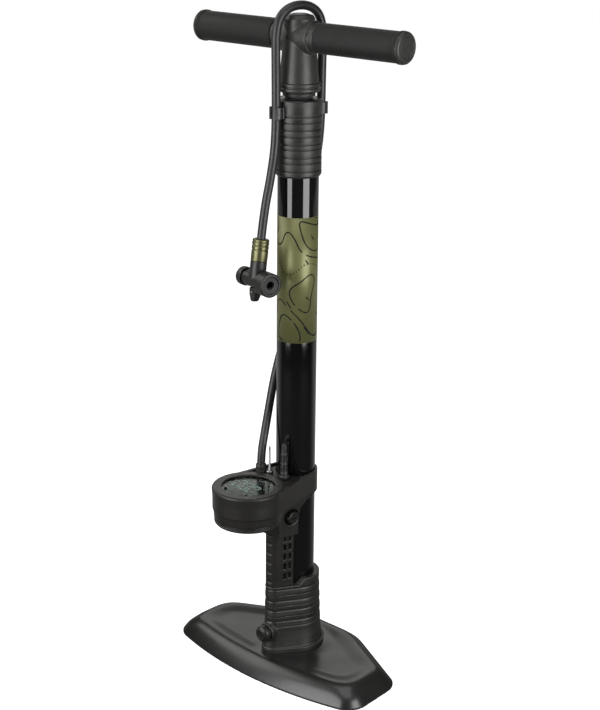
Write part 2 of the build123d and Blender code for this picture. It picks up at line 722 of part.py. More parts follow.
with BuildPart() as hub_bumper:
    with BuildSketch(Plane.XZ):
        Polygon((ROD_R + 0.3, 597.5), (19.6, 597.5), (20.6, 598.5), (20.6, 602.4), (19.9, 603.0), (19.9, 603.6), (20.4, 604.2), (19.8, HUB_Z0), (ROD_R + 0.3, HUB_Z0), align=None)
    revolve(axis=Axis.Z)
done(hub_bumper, "hub_bumper")

# ===========================================================================
# HOSE.  One route from the deck, up behind the barrel to the rear clip, over
# the handle hub, down through the front clip to the valve head.
# ===========================================================================
def rho(s, z, side=0.0):
    """Point in the plane of the two clips; s is measured towards the rear clip."""
    return (s * CX - side * CY, s * CY + side * CX, z)


F_TOP = at(0, 0, FERRULE_TOP - 4.0)
ROUTE = [
    (HOSE_FOOT[0], HOSE_FOOT[1], 215.0),
    (HOSE_FOOT[0], HOSE_FOOT[1], 232.0),
    (-22.9, -21.6, 252.0),
    (-27.2, -10.6, 276.0),
    (-29.9, 0.2, 306.0),
    (-28.2, 11.8, 342.0),
    (-23.4, 20.0, 386.0),
    (-17.2, 25.2, 432.0),
    (-10.8, 27.6, 477.0),
    (-4.2, 28.4, 520.0),
    rho(27.5, 556.0),
    rho(27.9, 620.0),
    rho(27.6, 660.6),
    rho(11.4, 677.0),
    rho(-11.4, 677.0),
    rho(-27.6, 660.6),
    rho(-27.9, 620.0),
    rho(-27.5, 556.0),
    rho(-33.0, 522.0),
    tuple(at(0, 0, FERRULE_TOP + 26.0)),
    tuple(F_TOP),
]


def radii_of(pts):
    out = []
    for p, q, r in zip(pts[:-2], pts[1:-1], pts[2:]):
        a, b = Vector(*q) - Vector(*p), Vector(*r) - Vector(*q)
        half = radians(a.get_angle(b)) / 2
        out.append(0.45 * min(a.length, b.length) / tan(half))
    return out


RADII = radii_of(ROUTE)
print("hose radii", [round(r, 1) for r in RADII])


def mid(i, z):
    """Point on run i to i+1 at height z."""
    a, b = Vector(*ROUTE[i]), Vector(*ROUTE[i + 1])
    return tuple(a + (b - a) * ((z - a.Z) / (b.Z - a.Z)))


REAR_CUT, FRONT_CUT = mid(10, SPLIT_Z), mid(16, SPLIT_Z)
total = 0.0
for hname, pts, rad in (
    ("hose_supply", ROUTE[:11] + [REAR_CUT], RADII[:10]),
    ("hose_loop", [REAR_CUT] + ROUTE[11:17] + [FRONT_CUT], RADII[10:16]),
    ("hose_drop", [FRONT_CUT] + ROUTE[17:], RADII[16:]),
):
    with BuildPart() as hose:
        with BuildLine() as path:
            FilletPolyline(*pts, radius=rad)
        with BuildSketch(Plane(origin=path.line @ 0, z_dir=path.line % 0)):
            Circle(HOSE_R)
        sweep(path=path.line)
    length = sum(e.length for e in path.line.edges())
    total += length
    area = 3.14159265 * HOSE_R ** 2
    print(hname, "length", round(length, 1), "volume/section*length", round(hose.part.volume / (area * length), 4))
    done(hose, hname)
print("hose length", round(total, 1))

# ===========================================================================
# VALVE HEAD
# ===========================================================================
with BuildPart() as hose_ferrule:
    with BuildSketch(stem_plane(STEM_TOP)):
        Circle(8.2)
    extrude(amount=FERRULE_TOP - STEM_TOP)
    fillet(hose_ferrule.edges().group_by(Axis((0, 0, 0), tuple(HEAD_UP)))[-1], 1.8)
    for dz in (33.0, 36.2):
        with BuildSketch(stem_plane(dz)):
            Circle(9.5)
            Circle(7.6, mode=Mode.SUBTRACT)
        extrude(amount=1.2, mode=Mode.SUBTRACT)
    with BuildSketch(stem_plane(STEM_TOP)):
        Circle(1.8)
    extrude(amount=30, mode=Mode.SUBTRACT)
    with BuildSketch(stem_plane(FERRULE_TOP - 4.0)):
        Circle(HOSE_R + 0.05)
    extrude(amount=10, mode=Mode.SUBTRACT)
done(hose_ferrule, "hose_ferrule")

with BuildPart() as head_body:
    with BuildSketch(stem_plane(0)):
        Circle(8.05)
    extrude(amount=STEM_TOP)
    with BuildSketch(cross_plane(-15.5)):
        Circle(7.8)
    extrude(amount=25.5)
    # spigots that carry the two chuck caps
    with BuildSketch(cross_plane(-19.0)):
        Circle(6.6)
    extrude(amount=38.5)
    # lug for the thumb lever
    with BuildSketch(Plane(origin=at(0, -2.0, 0), x_dir=HEAD_X, z_dir=HEAD_Y)):
        # sketch y runs against the stem
        with Locations((0, 11.5)):
            Circle(2.9)
        with Locations((0, 8.0)):
            Rectangle(5.8, 7.0)
    extrude(amount=4.0)
    # air passages
    with BuildSketch(stem_plane(0)):
        Circle(1.8)
    extrude(amount=STEM_TOP, mode=Mode.SUBTRACT)
    with BuildSketch(cross_plane(-30)):
        Circle(3.1)
    extrude(amount=30, mode=Mode.SUBTRACT)
    with BuildSketch(cross_plane(0)):
        Circle(4.0)
    extrude(amount=30, mode=Mode.SUBTRACT)
    # hole for the lever pin
    with BuildSketch(Plane(origin=at(0, -6.0, 0), x_dir=HEAD_X, z_dir=HEAD_Y)):
        with Locations((0, 11.5)):
            Circle(1.2)
    extrude(amount=12.0, mode=Mode.SUBTRACT)
done(head_body, "head_body")

with BuildPart() as presta_gasket:
    with BuildSketch(cross_plane(-22.0)):
        Circle(5.6)
        Circle(3.1, mode=Mode.SUBTRACT)
    extrude(amount=3.0)
done(presta_gasket, "presta_gasket")

with BuildPart() as presta_cap:
    with BuildSketch(cross_plane(-24.0)):
        Circle(9.2)
    extrude(amount=7.4)
    fillet(presta_cap.edges().group_by(Axis((0, 0, 0), tuple(HEAD_X)))[0], 1.0)
    with BuildSketch(cross_plane(-22.0)):
        Circle(5.6)
    extrude(amount=4, mode=Mode.SUBTRACT)
    with BuildSketch(cross_plane(-19.0)):
        Circle(6.6)
    extrude(amount=10, mode=Mode.SUBTRACT)
    with BuildSketch(cross_plane(-30)):
        Circle(3.1)
    extrude(amount=30, mode=Mode.SUBTRACT)
done(presta_cap, "presta_cap")

with BuildPart() as schrader_gasket:
    with BuildSketch(cross_plane(19.5)):
        Circle(6.0)
        Circle(4.0, mode=Mode.SUBTRACT)
    extrude(amount=2.5)
done(schrader_gasket, "schrader_gasket")

with BuildPart() as schrader_cap:
    with BuildSketch(cross_plane(10.0)):
        Circle(10.8)
    extrude(amount=2.0)
    with BuildSketch(cross_plane(12.0)):
        Circle(11.8)
    extrude(amount=13.0)
    fillet(schrader_cap.edges().group_by(Axis((0, 0, 0), tuple(HEAD_X)))[-1], 1.4)
    # dished face
    with BuildSketch(cross_plane(23.4)):
        Circle(8.6)
    extrude(amount=4, mode=Mode.SUBTRACT)
    with BuildSketch(cross_plane(19.5)):
        Circle(6.0)
    extrude(amount=2.5, mode=Mode.SUBTRACT)
    with BuildSketch(cross_plane(5)):
        Circle(6.6)
    extrude(amount=14.5, mode=Mode.SUBTRACT)
    with BuildSketch(cross_plane(5)):
        Circle(4.0)
    extrude(amount=30, mode=Mode.SUBTRACT)
done(schrader_cap, "schrader_cap")

with BuildPart() as thumb_lever:
    # two cheeks on the pin, joined below the lug into a thumb tab
    with BuildSketch(Plane(origin=at(0, -4.6, 0), x_dir=HEAD_X, z_dir=HEAD_Y)):
        with Locations((0, 11.5)):
            Circle(3.0)
        Polygon((-3.0, 11.5), (3.0, 11.5), (2.6, 19.5), (1.4, 21.0), (-1.4, 21.0), (-2.6, 19.5), align=None)
    extrude(amount=9.2)
    with BuildSketch(Plane(origin=at(0, -2.3, 0), x_dir=HEAD_X, z_dir=HEAD_Y)):
        with Locations((0, 9.2)):
            Rectangle(12.0, 11.6)
    extrude(amount=4.6, mode=Mode.SUBTRACT)
    with BuildSketch(Plane(origin=at(0, -6.0, 0), x_dir=HEAD_X, z_dir=HEAD_Y)):
        with Locations((0, 11.5)):
            Circle(1.25)
    extrude(amount=12.0, mode=Mode.SUBTRACT)
done(thumb_lever, "thumb_lever")

with BuildPart() as lever_pin:
    with BuildSketch(Plane(origin=at(0, -4.8, 0), x_dir=HEAD_X, z_dir=HEAD_Y)):
        with Locations((0, 11.5)):
            Circle(1.2)
    extrude(amount=9.6)
done(lever_pin, "lever_pin")

print("head axes", [round(v, 5) for v in (*HEAD_X, *HEAD_Y, *HEAD_UP)])
print("presta mouth", [round(v, 3) for v in at(-24, 0, 0)], "schrader mouth", [round(v, 3) for v in at(23.4, 0, 0)])
print("lever pin", [round(v, 3) for v in at(0, 0, -11.5)], "ferrule mouth", [round(v, 3) for v in at(0, 0, FERRULE_TOP)])
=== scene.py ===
"""Floor pump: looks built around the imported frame."""
import math

import bmesh
import bpy
import numpy as np
from mathutils import Matrix, Vector


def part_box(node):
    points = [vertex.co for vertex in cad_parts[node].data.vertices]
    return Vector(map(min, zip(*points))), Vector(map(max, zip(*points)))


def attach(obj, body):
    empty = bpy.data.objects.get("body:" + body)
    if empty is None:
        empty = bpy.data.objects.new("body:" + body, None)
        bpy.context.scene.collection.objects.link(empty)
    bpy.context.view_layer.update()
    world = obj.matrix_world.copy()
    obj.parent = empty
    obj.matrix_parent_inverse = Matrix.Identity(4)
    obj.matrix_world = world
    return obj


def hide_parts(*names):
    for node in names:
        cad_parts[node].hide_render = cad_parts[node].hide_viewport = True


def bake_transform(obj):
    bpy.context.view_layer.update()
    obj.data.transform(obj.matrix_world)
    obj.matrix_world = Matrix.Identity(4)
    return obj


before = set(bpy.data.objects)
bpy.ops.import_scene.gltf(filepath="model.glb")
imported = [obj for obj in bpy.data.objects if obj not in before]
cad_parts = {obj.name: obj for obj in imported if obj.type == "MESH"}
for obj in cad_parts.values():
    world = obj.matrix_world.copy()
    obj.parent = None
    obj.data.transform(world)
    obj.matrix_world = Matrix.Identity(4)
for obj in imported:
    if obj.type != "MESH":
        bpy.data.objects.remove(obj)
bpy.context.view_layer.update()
SCENE = bpy.context.scene
MM = 0.001
rng = np.random.default_rng(7)


# ---------------------------------------------------------------- camera
def make_camera():
    a, e, r = math.radians(41.99494), math.radians(18.74074), math.radians(0.58677)
    fwd = Vector((-math.sin(a) * math.cos(e), math.cos(a) * math.cos(e), -math.sin(e)))
    right0 = Vector((math.cos(a), math.sin(a), 0))
    up0 = right0.cross(fwd)
    right = math.cos(r) * right0 + math.sin(r) * up0
    up = -math.sin(r) * right0 + math.cos(r) * up0
    data = bpy.data.cameras.new("camera")
    data.sensor_fit, data.sensor_height, data.lens = "VERTICAL", 36.0, 78.48
    data.clip_start, data.clip_end = 0.05, 30.0
    cam = bpy.data.objects.new("camera", data)
    rot = Matrix((right, up, -fwd)).transposed().to_4x4()
    cam.matrix_world = Matrix.Translation((0.9808, -1.0843, 0.8306)) @ rot
    SCENE.collection.objects.link(cam)
    SCENE.camera = cam


make_camera()
CAM_AZ = 41.99494


# ---------------------------------------------------------------- node helpers
class Nodes:
    """Short way to build a node tree."""

    def __init__(self, name):
        self.mat = bpy.data.materials.new(name)
        self.mat.use_nodes = True
        self.t = self.mat.node_tree
        self.t.nodes.clear()
        self.out = self.t.nodes.new("ShaderNodeOutputMaterial")
        self.b = self.t.nodes.new("ShaderNodeBsdfPrincipled")
        self.t.links.new(self.b.outputs[0], self.out.inputs[0])
        tc = self.t.nodes.new("ShaderNodeTexCoord")
        self.co = tc.outputs["Object"]

    def n(self, kind, **kw):
        node = self.t.nodes.new(kind)
        for k, v in kw.items():
            setattr(node, k, v)
        return node

    def link(self, a, b):
        self.t.links.new(a, b)

    def noise(self, scale, detail=3.0, rough=0.55, co=None, distort=0.0):
        n = self.n("ShaderNodeTexNoise")
        n.inputs["Scale"].default_value = scale
        n.inputs["Detail"].default_value = detail
        n.inputs["Roughness"].default_value = rough
        n.inputs["Distortion"].default_value = distort
        self.link(co or self.co, n.inputs["Vector"])
        return n.outputs["Fac"]

    def voronoi(self, scale, co=None, feature="F1"):
        n = self.n("ShaderNodeTexVoronoi", feature=feature)
        n.inputs["Scale"].default_value = scale
        self.link(co or self.co, n.inputs["Vector"])
        return n.outputs["Distance"]

    def math(self, op, a, b=None, c=None, clamp=False):
        n = self.n("ShaderNodeMath", operation=op, use_clamp=clamp)
        for i, v in enumerate((a, b, c)):
            if v is None:
                continue
            if isinstance(v, (int, float)):
                n.inputs[i].default_value = v
            else:
                self.link(v, n.inputs[i])
        return n.outputs[0]

    def ramp(self, fac, stops):
        n = self.n("ShaderNodeValToRGB")
        el = n.color_ramp.elements
        while len(el) < len(stops):
            el.new(0.5)
        for e, (p, c) in zip(el, stops):
            e.position = p
            e.color = (c, c, c, 1) if isinstance(c, (int, float)) else (*c, 1)
        self.link(fac, n.inputs[0])
        return n.outputs[0]

    def maprange(self, v, lo, hi, to_lo, to_hi):
        n = self.n("ShaderNodeMapRange")
        self.link(v, n.inputs[0])
        for i, x in enumerate((lo, hi, to_lo, to_hi)):
            n.inputs[i + 1].default_value = x
        return n.outputs[0]

    def mix(self, fac, a, b):
        n = self.n("ShaderNodeMix", data_type="RGBA")
        for sock, v in ((n.inputs[0], fac), (n.inputs[6], a), (n.inputs[7], b)):
            if isinstance(v, (int, float)):
                sock.default_value = v
            elif isinstance(v, tuple):
                sock.default_value = (*v, 1)
            else:
                self.link(v, sock)
        return n.outputs[2]

    def bump(self, height, dist, strength=1.0, normal=None):
        n = self.n("ShaderNodeBump")
        n.inputs["Strength"].default_value = strength
        n.inputs["Distance"].default_value = dist
        self.link(height, n.inputs["Height"])
        if normal is not None:
            self.link(normal, n.inputs["Normal"])
        return n.outputs[0]

    def scaled(self, sx, sy, sz):
        n = self.n("ShaderNodeMapping")
        n.inputs["Scale"].default_value = (sx, sy, sz)
        self.link(self.co, n.inputs["Vector"])
        return n.outputs[0]

    def edges(self):
        """1 on sharp outer edges, 0 elsewhere; the lightening laid on it is partly rubbed wear and partly painted edge
        highlight.
        """
        g = self.n("ShaderNodeNewGeometry")
        return self.ramp(g.outputs["Pointiness"], [(0.515, 0.0), (0.56, 1.0)])

    def put(self, colour=None, rough=None, normal=None, **fixed):
        b = self.b
        for key, v in (("Base Color", colour), ("Roughness", rough)):
            if v is None:
                continue
            if isinstance(v, (int, float)):
                b.inputs[key].default_value = v
            elif isinstance(v, tuple):
                b.inputs[key].default_value = (*v, 1)
            else:
                self.link(v, b.inputs[key])
        if normal is not None:
            self.link(normal, b.inputs["Normal"])
        for k, v in fixed.items():
            b.inputs[k.replace("_", " ")].default_value = v
        return self.mat


def moulded(name, base, light, rough, grain=0.00004, grain_scale=2600, edge=0.5, coat=0.0):
    """Spark-eroded or polished moulded plastic with slight tone changes and lightened edges, partly rubbed wear and
    partly painted highlight.
    """
    m = Nodes(name)
    tone = m.noise(38, 4, 0.6)
    col = m.mix(m.ramp(tone, [(0.35, 0.0), (0.7, 1.0)]), base, tuple(c * 1.25 for c in base))
    # outer edges lightened: a little on every edge as painted highlight, more in noise patches as rubbed wear
    col = m.mix(m.math("MULTIPLY", m.edges(), m.ramp(m.noise(210, 4, 0.7), [(0.4, 0.15), (0.65, edge)])), col, light)
    fine = m.noise(grain_scale, 2, 0.5)
    pits = m.voronoi(grain_scale * 0.55)
    h = m.math("ADD", m.math("MULTIPLY", fine, 0.6), m.math("MULTIPLY", pits, 0.5))
    peel = m.bump(m.noise(120, 2, 0.5), 0.00006, 0.35)
    nor = m.bump(h, grain, 0.8, peel)
    smear = m.noise(16, 5, 0.65, distort=0.8)
    rg = m.maprange(smear, 0.3, 0.75, rough - 0.05, rough + 0.08)
    return m.put(col, rg, nor, Coat_Weight=coat, Coat_Roughness=0.12, Specular_IOR_Level=0.5)


def painted_steel():
    m = Nodes("painted_steel_black")
    tone = m.noise(14, 4, 0.6)
    col = m.mix(m.ramp(tone, [(0.35, 0.0), (0.7, 1.0)]), (0.0065, 0.0065, 0.0062), (0.011, 0.011, 0.0105))
    worn = m.math("MULTIPLY", m.edges(), m.ramp(m.noise(260, 5, 0.75), [(0.52, 0.0), (0.68, 0.45)]))
    col = m.mix(worn, col, (0.10, 0.10, 0.10))
    dust = m.ramp(m.noise(900, 3, 0.7), [(0.62, 0.0), (0.75, 0.10)])
    col = m.mix(dust, col, (0.10, 0.10, 0.09))
    nor = m.bump(m.noise(420, 3, 0.55), 0.00012, 0.30)
    nor = m.bump(m.noise(2600, 2, 0.5), 0.00003, 0.5, nor)
    rg = m.maprange(m.noise(9, 5, 0.6, distort=1.2), 0.3, 0.75, 0.26, 0.40)
    return m.put(col, rg, nor, Coat_Weight=0.25, Coat_Roughness=0.18)


def gloss_barrel():
    m = Nodes("barrel_gloss_black")
    col = m.mix(m.ramp(m.noise(20, 3), [(0.4, 0.0), (0.7, 1.0)]), (0.0025, 0.0025, 0.0027), (0.004, 0.004, 0.0042))
    nor = m.bump(m.noise(300, 2, 0.5), 0.00004, 0.10)
    hair = m.ramp(m.noise(900, 2, 0.6, co=m.scaled(1, 1, 0.03)), [(0.55, 0.0), (0.8, 1.0)])
    rg = m.maprange(hair, 0.0, 1.0, 0.07, 0.12)
    return m.put(col, rg, nor, Coat_Weight=0.3, Coat_Roughness=0.05)


def ribbed(name):
    """Black nylon with the faint level drag lines of its mould."""
    m = Nodes(name)
    lines = m.noise(260, 3, 0.65, co=m.scaled(0.06, 0.06, 1.0), distort=0.3)
    col = m.mix(m.ramp(lines, [(0.35, 0.0), (0.7, 1.0)]), (0.0115, 0.0115, 0.0100), (0.022, 0.022, 0.0195))
    # every outer edge lightened evenly: painted edge highlight
    col = m.mix(m.math("MULTIPLY", m.edges(), 0.5), col, (0.09, 0.09, 0.082))
    nor = m.bump(lines, 0.00022, 0.55)
    nor = m.bump(m.noise(2300, 2, 0.5), 0.00003, 0.7, nor)
    rg = m.maprange(lines, 0.3, 0.75, 0.36, 0.50)
    return m.put(col, rg, nor)


def rubber(name, base, rough, grain_scale=1500, grain=0.00008, sheen=0.15, spec=0.5):
    m = Nodes(name)
    col = m.mix(m.ramp(m.noise(55, 5, 0.7), [(0.35, 0.0), (0.72, 1.0)]), base, tuple(c * 1.45 for c in base))
    pal = m.ramp(m.noise(600, 4, 0.75), [(0.58, 0.0), (0.78, 0.22)])
    col = m.mix(pal, col, tuple(min(1, c * 4.0) for c in base))
    # every outer edge lightened evenly: painted edge highlight
    col = m.mix(m.math("MULTIPLY", m.edges(), 0.35), col, tuple(min(1, c * 4.5) for c in base))
    nor = m.bump(m.noise(grain_scale, 3, 0.6), grain, 0.7)
    nor = m.bump(m.noise(90, 2), 0.00010, 0.3, nor)
    rg = m.maprange(m.noise(24, 4, 0.6), 0.3, 0.75, rough - 0.05, rough + 0.08)
    return m.put(col, rg, nor, Sheen_Weight=sheen, Sheen_Roughness=0.5, Specular_IOR_Level=spec)


def metal(name, base, rough, brushed=None, tint=None, aniso=0.0):
    m = Nodes(name)
    co = m.scaled(*brushed) if brushed else m.co
    streak = m.noise(700, 3, 0.6, co=co)
    col = m.mix(m.ramp(streak, [(0.3, 0.0), (0.75, 1.0)]), tuple(c * 0.82 for c in base), base)
    rg = m.maprange(streak, 0.3, 0.75, rough - 0.06, rough + 0.10)
    nor = m.bump(streak, 0.000006, 0.4)
    return m.put(col, rg, nor, Metallic=1.0, Anisotropic=aniso)


def rod_steel():
    m = Nodes("rod_steel")
    col = m.mix(m.ramp(m.noise(40, 3), [(0.35, 0.0), (0.7, 1.0)]), (0.32, 0.32, 0.33), (0.40, 0.40, 0.41))
    rg = m.maprange(m.noise(60, 3), 0.3, 0.8, 0.28, 0.36)
    return m.put(col, rg, m.bump(m.noise(90, 2), 0.000002, 0.05), Metallic=1.0)


def anodised(name, base, rough):
    m = Nodes(name)
    col = m.mix(m.ramp(m.noise(60, 4, 0.6), [(0.35, 0.0), (0.7, 1.0)]), tuple(c * 0.9 for c in base), tuple(c * 1.08 for c in base))
    col = m.mix(m.ramp(m.noise(2600, 2, 0.6), [(0.55, 0.0), (0.8, 0.35)]), col, tuple(c * 1.6 for c in base))
    nor = m.bump(m.noise(3000, 2, 0.5), 0.00002, 0.6)
    rg = m.maprange(m.noise(40, 4), 0.3, 0.75, rough - 0.04, rough + 0.07)
    return m.put(col, rg, nor, Metallic=0.35)


def clear_lens():
    m = Nodes("lens_clear")
    rg = m.maprange(m.noise(30, 4), 0.3, 0.8, 0.015, 0.05)
    nor = m.bump(m.noise(80, 2), 0.000004, 0.05)
    return m.put((0.90, 0.94, 0.92), rg, nor, Transmission_Weight=1.0, IOR=1.06)


def lcd_face():
    m = Nodes("lcd_glass")
    col = m.mix(m.ramp(m.noise(40, 3), [(0.4, 0.0), (0.7, 1.0)]), (0.010, 0.0115, 0.011), (0.014, 0.016, 0.015))
    return m.put(col, m.maprange(m.noise(90, 3), 0.3, 0.8, 0.10, 0.18), m.bump(m.noise(200, 2), 0.000004, 0.2), Specular_IOR_Level=0.3)


# emission makes the digits and icon glow though they are no lamp: painted light that lets them show under the clear
# window
def painted_glow_marks(name, colour, power):
    m = Nodes(name)
    col = m.mix(m.ramp(m.noise(300, 2), [(0.4, 0.0), (0.7, 1.0)]), tuple(c * 0.8 for c in colour), colour)
    m.link(col, m.b.inputs["Emission Color"])
    return m.put(col, 0.4, None, Emission_Strength=power)


M = {
    "steel_black": painted_steel(),
    "barrel_black": gloss_barrel(),
    "nylon_black": moulded("nylon_black", (0.0095, 0.0095, 0.0085), (0.075, 0.075, 0.068), 0.36),
    "hub_black": moulded("hub_black", (0.020, 0.020, 0.018), (0.09, 0.09, 0.09), 0.42, grain=0.00005, grain_scale=1900),
    "grip_rubber": rubber("grip_rubber", (0.0062, 0.0062, 0.0057), 0.60, sheen=0.03, spec=0.28),
    "hose_rubber": rubber("hose_rubber", (0.010, 0.010, 0.011), 0.40, 1900, 0.00005, 0.05),
    "edge_rubber": rubber("edge_rubber", (0.008, 0.008, 0.008), 0.55),
    "seal_rubber": rubber("seal_rubber", (0.012, 0.012, 0.012), 0.50),
    "steel": metal("steel", (0.55, 0.55, 0.56), 0.30, (1, 1, 0.05)),
    "chrome": metal("chrome", (0.72, 0.72, 0.73), 0.16),
    "rod_steel": rod_steel(),
    "brass": metal("brass", (0.72, 0.53, 0.24), 0.28),
    "olive_alu": anodised("olive_alu", (0.165, 0.168, 0.068), 0.36),
    "bush_plastic": moulded("bush_plastic", (0.020, 0.020, 0.020), (0.08, 0.08, 0.08), 0.5),
    "lens": clear_lens(),
    "lcd": lcd_face(),
    "board": moulded("board", (0.02, 0.09, 0.03), (0.15, 0.3, 0.15), 0.5),
    "gauge_black": moulded("gauge_black", (0.0125, 0.012, 0.0108), (0.09, 0.09, 0.09), 0.36, grain=0.000025, grain_scale=3200),
    "head_black": moulded("head_black", (0.0065, 0.0065, 0.006), (0.06, 0.06, 0.055), 0.40, grain=0.00002, grain_scale=3400),
    "cap_black": moulded("cap_black", (0.012, 0.012, 0.0125), (0.07, 0.07, 0.07), 0.34, grain=0.00003, grain_scale=2800),
    "ribbed_black": ribbed("ribbed_black"),
    "olive_metal": metal("olive_metal", (0.165, 0.162, 0.086), 0.40),
    "needle_steel": metal("needle_steel", (0.30, 0.30, 0.31), 0.34),
    "ink_black": rubber("ink_black", (0.0022, 0.0022, 0.0022), 0.6, sheen=0.0, spec=0.12),
    # digit segments and icon glow by emission: painted light
    "segment": painted_glow_marks("segment_green", (0.13, 0.20, 0.165), 0.36),
    "icon_grey": painted_glow_marks("icon_grey", (0.16, 0.16, 0.165), 0.22),
}


# ---------------------------------------------------------------- mesh helpers
def add(name, mesh, mat, body, replaces=()):
    ob = bpy.data.objects.new(name, mesh)
    SCENE.collection.objects.link(ob)
    mesh.materials.clear()
    mesh.materials.append(M[mat] if isinstance(mat, str) else mat)
    if body:
        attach(ob, body)
    if replaces:
        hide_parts(*replaces)
    return ob


def to_mesh(name, verts_mm, faces, smooth=True):
    me = bpy.data.meshes.new(name)
    me.from_pydata((np.asarray(verts_mm, float) * MM).tolist(), [], [list(map(int, f)) for f in faces])
    me.validate()
    bm = bmesh.new()
    bm.from_mesh(me)
    bmesh.ops.remove_doubles(bm, verts=bm.verts, dist=1e-7)
    bmesh.ops.recalc_face_normals(bm, faces=bm.faces)
    bm.to_mesh(me)
    bm.free()
    me.polygons.foreach_set("use_smooth", [smooth] * len(me.polygons))
    return me


def rounded(pts, r, n=4, closed=True):
    """Polyline corners rounded; pts are (x, y) or (x, y, own radius)."""
    out, m = [], len(pts)
    for i, p in enumerate(pts):
        q = Vector(p[:2])
        rr = p[2] if len(p) > 2 else r
        if not closed and i in (0, m - 1) or rr <= 0:
            out.append(tuple(q))
            continue
        a, b = Vector(pts[i - 1][:2]) - q, Vector(pts[(i + 1) % m][:2]) - q
        la, lb = a.length, b.length
        if la < 1e-6 or lb < 1e-6:
            out.append(tuple(q))
            continue
        a, b = a / la, b / lb
        ang = math.acos(max(-1, min(1, a.dot(b))))
        if ang > math.pi - 0.02 or ang < 0.02:
            out.append(tuple(q))
            continue
        t = min(rr / math.tan(ang / 2), la * 0.49, lb * 0.49)
        rr = t * math.tan(ang / 2)
        c = q + (a + b).normalized() * (rr / math.sin(ang / 2))
        p0, p1 = q + a * t - c, q + b * t - c
        w = math.pi - ang
        for k in range(n + 1):
            f = k / n
            v = (p0 * math.sin((1 - f) * w) + p1 * math.sin(f * w)) / math.sin(w)
            out.append(tuple(c + v))
    return out


def axes(origin, z, x=None):
    """Frame with Z along z, as (origin, X, Y, Z) arrays."""
    z = np.asarray(z, float)
    z /= np.linalg.norm(z)
    x = np.array([1.0, 0, 0]) if x is None else np.asarray(x, float)
    if abs(x @ z) > 0.95:
        x = np.array([0, 1.0, 0])
    x = x - z * (x @ z)
    x /= np.linalg.norm(x)
    return np.asarray(origin, float), x, np.cross(z, x), z


WORLD = axes((0, 0, 0), (0, 0, 1))


def lathe(name, profile, seg=128, ax=WORLD, warp=None):
    """Closed solid of revolution; profile is (r, h) round the section, r = 0 where it meets the axis."""
    o, x, y, z = ax
    prof = np.array([(max(0.0, p[0]), p[1]) for p in profile])
    th = np.linspace(0, 2 * np.pi, seg, endpoint=False)
    c, s = np.cos(th), np.sin(th)
    r, h = prof[:, 0], prof[:, 1]
    if warp is not None:
        r2, h2 = warp(r[:, None] + 0 * th, h[:, None] + 0 * th, th[None] + 0 * r[:, None])
    else:
        r2, h2 = r[:, None] + 0 * th, h[:, None] + 0 * th
    v = o + (r2 * c)[..., None] * x + (r2 * s)[..., None] * y + h2[..., None] * z
    n, faces = len(prof), []
    closed = prof[0, 0] > 0 or prof[-1, 0] > 0
    for i in range(n if closed else n - 1):
        j = (i + 1) % n
        if r[i] == 0 and r[j] == 0:
            continue
        for k in range(seg):
            q = (k + 1) % seg
            if r[i] == 0:
                faces.append((i * seg, j * seg + k, j * seg + q))
            elif r[j] == 0:
                faces.append((i * seg + k, i * seg + q, j * seg))
            else:
                faces.append((i * seg + k, i * seg + q, j * seg + q, j * seg + k))
    return to_mesh(name, v.reshape(-1, 3), faces)


def cad_copy(*nodes):
    """Joined copy of CAD nodes as one bmesh, in the row frame."""
    bm = bmesh.new()
    for node in nodes:
        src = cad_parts[node]
        me = src.data.copy()
        me.transform(src.matrix_world)
        bm.from_mesh(me)
        bpy.data.meshes.remove(me)
    bmesh.ops.remove_doubles(bm, verts=bm.verts, dist=1e-6)
    return bm


def soften(name, bm_or_nodes, voxel, smooth=5, ratio=None, extra=(), cut=None):
    """Every edge of a CAD shape rounded over: fine remesh, relaxed, then thinned. extra meshes are merged in."""
    bm = cad_copy(*bm_or_nodes)
    for me in extra:
        bm.from_mesh(me)
    me = bpy.data.meshes.new(name)
    bm.to_mesh(me)
    bm.free()
    ob = bpy.data.objects.new(name + "_tmp", me)
    SCENE.collection.objects.link(ob)
    k = 1.0
    if cut is not None:
        tool = bpy.data.objects.new("cut_tmp", cut)
        SCENE.collection.objects.link(tool)
        b = ob.modifiers.new("b", "BOOLEAN")
        b.object, b.operation, b.solver = tool, "DIFFERENCE", "EXACT"
    m = ob.modifiers.new("r", "REMESH")
    m.mode, m.voxel_size, m.use_smooth_shade = "VOXEL", voxel * k * MM, True
    s = ob.modifiers.new("s", "SMOOTH")
    s.factor, s.iterations = 0.5, max(1, int(smooth / k))
    if ratio:
        d = ob.modifiers.new("d", "DECIMATE")
        d.ratio = ratio
    dg = bpy.context.evaluated_depsgraph_get()
    out = bpy.data.meshes.new_from_object(ob.evaluated_get(dg))
    out.name = name
    bpy.data.objects.remove(ob)
    if cut is not None:
        bpy.data.objects.remove(tool)
    bpy.data.meshes.remove(me)
    out.polygons.foreach_set("use_smooth", [True] * len(out.polygons))
    return out


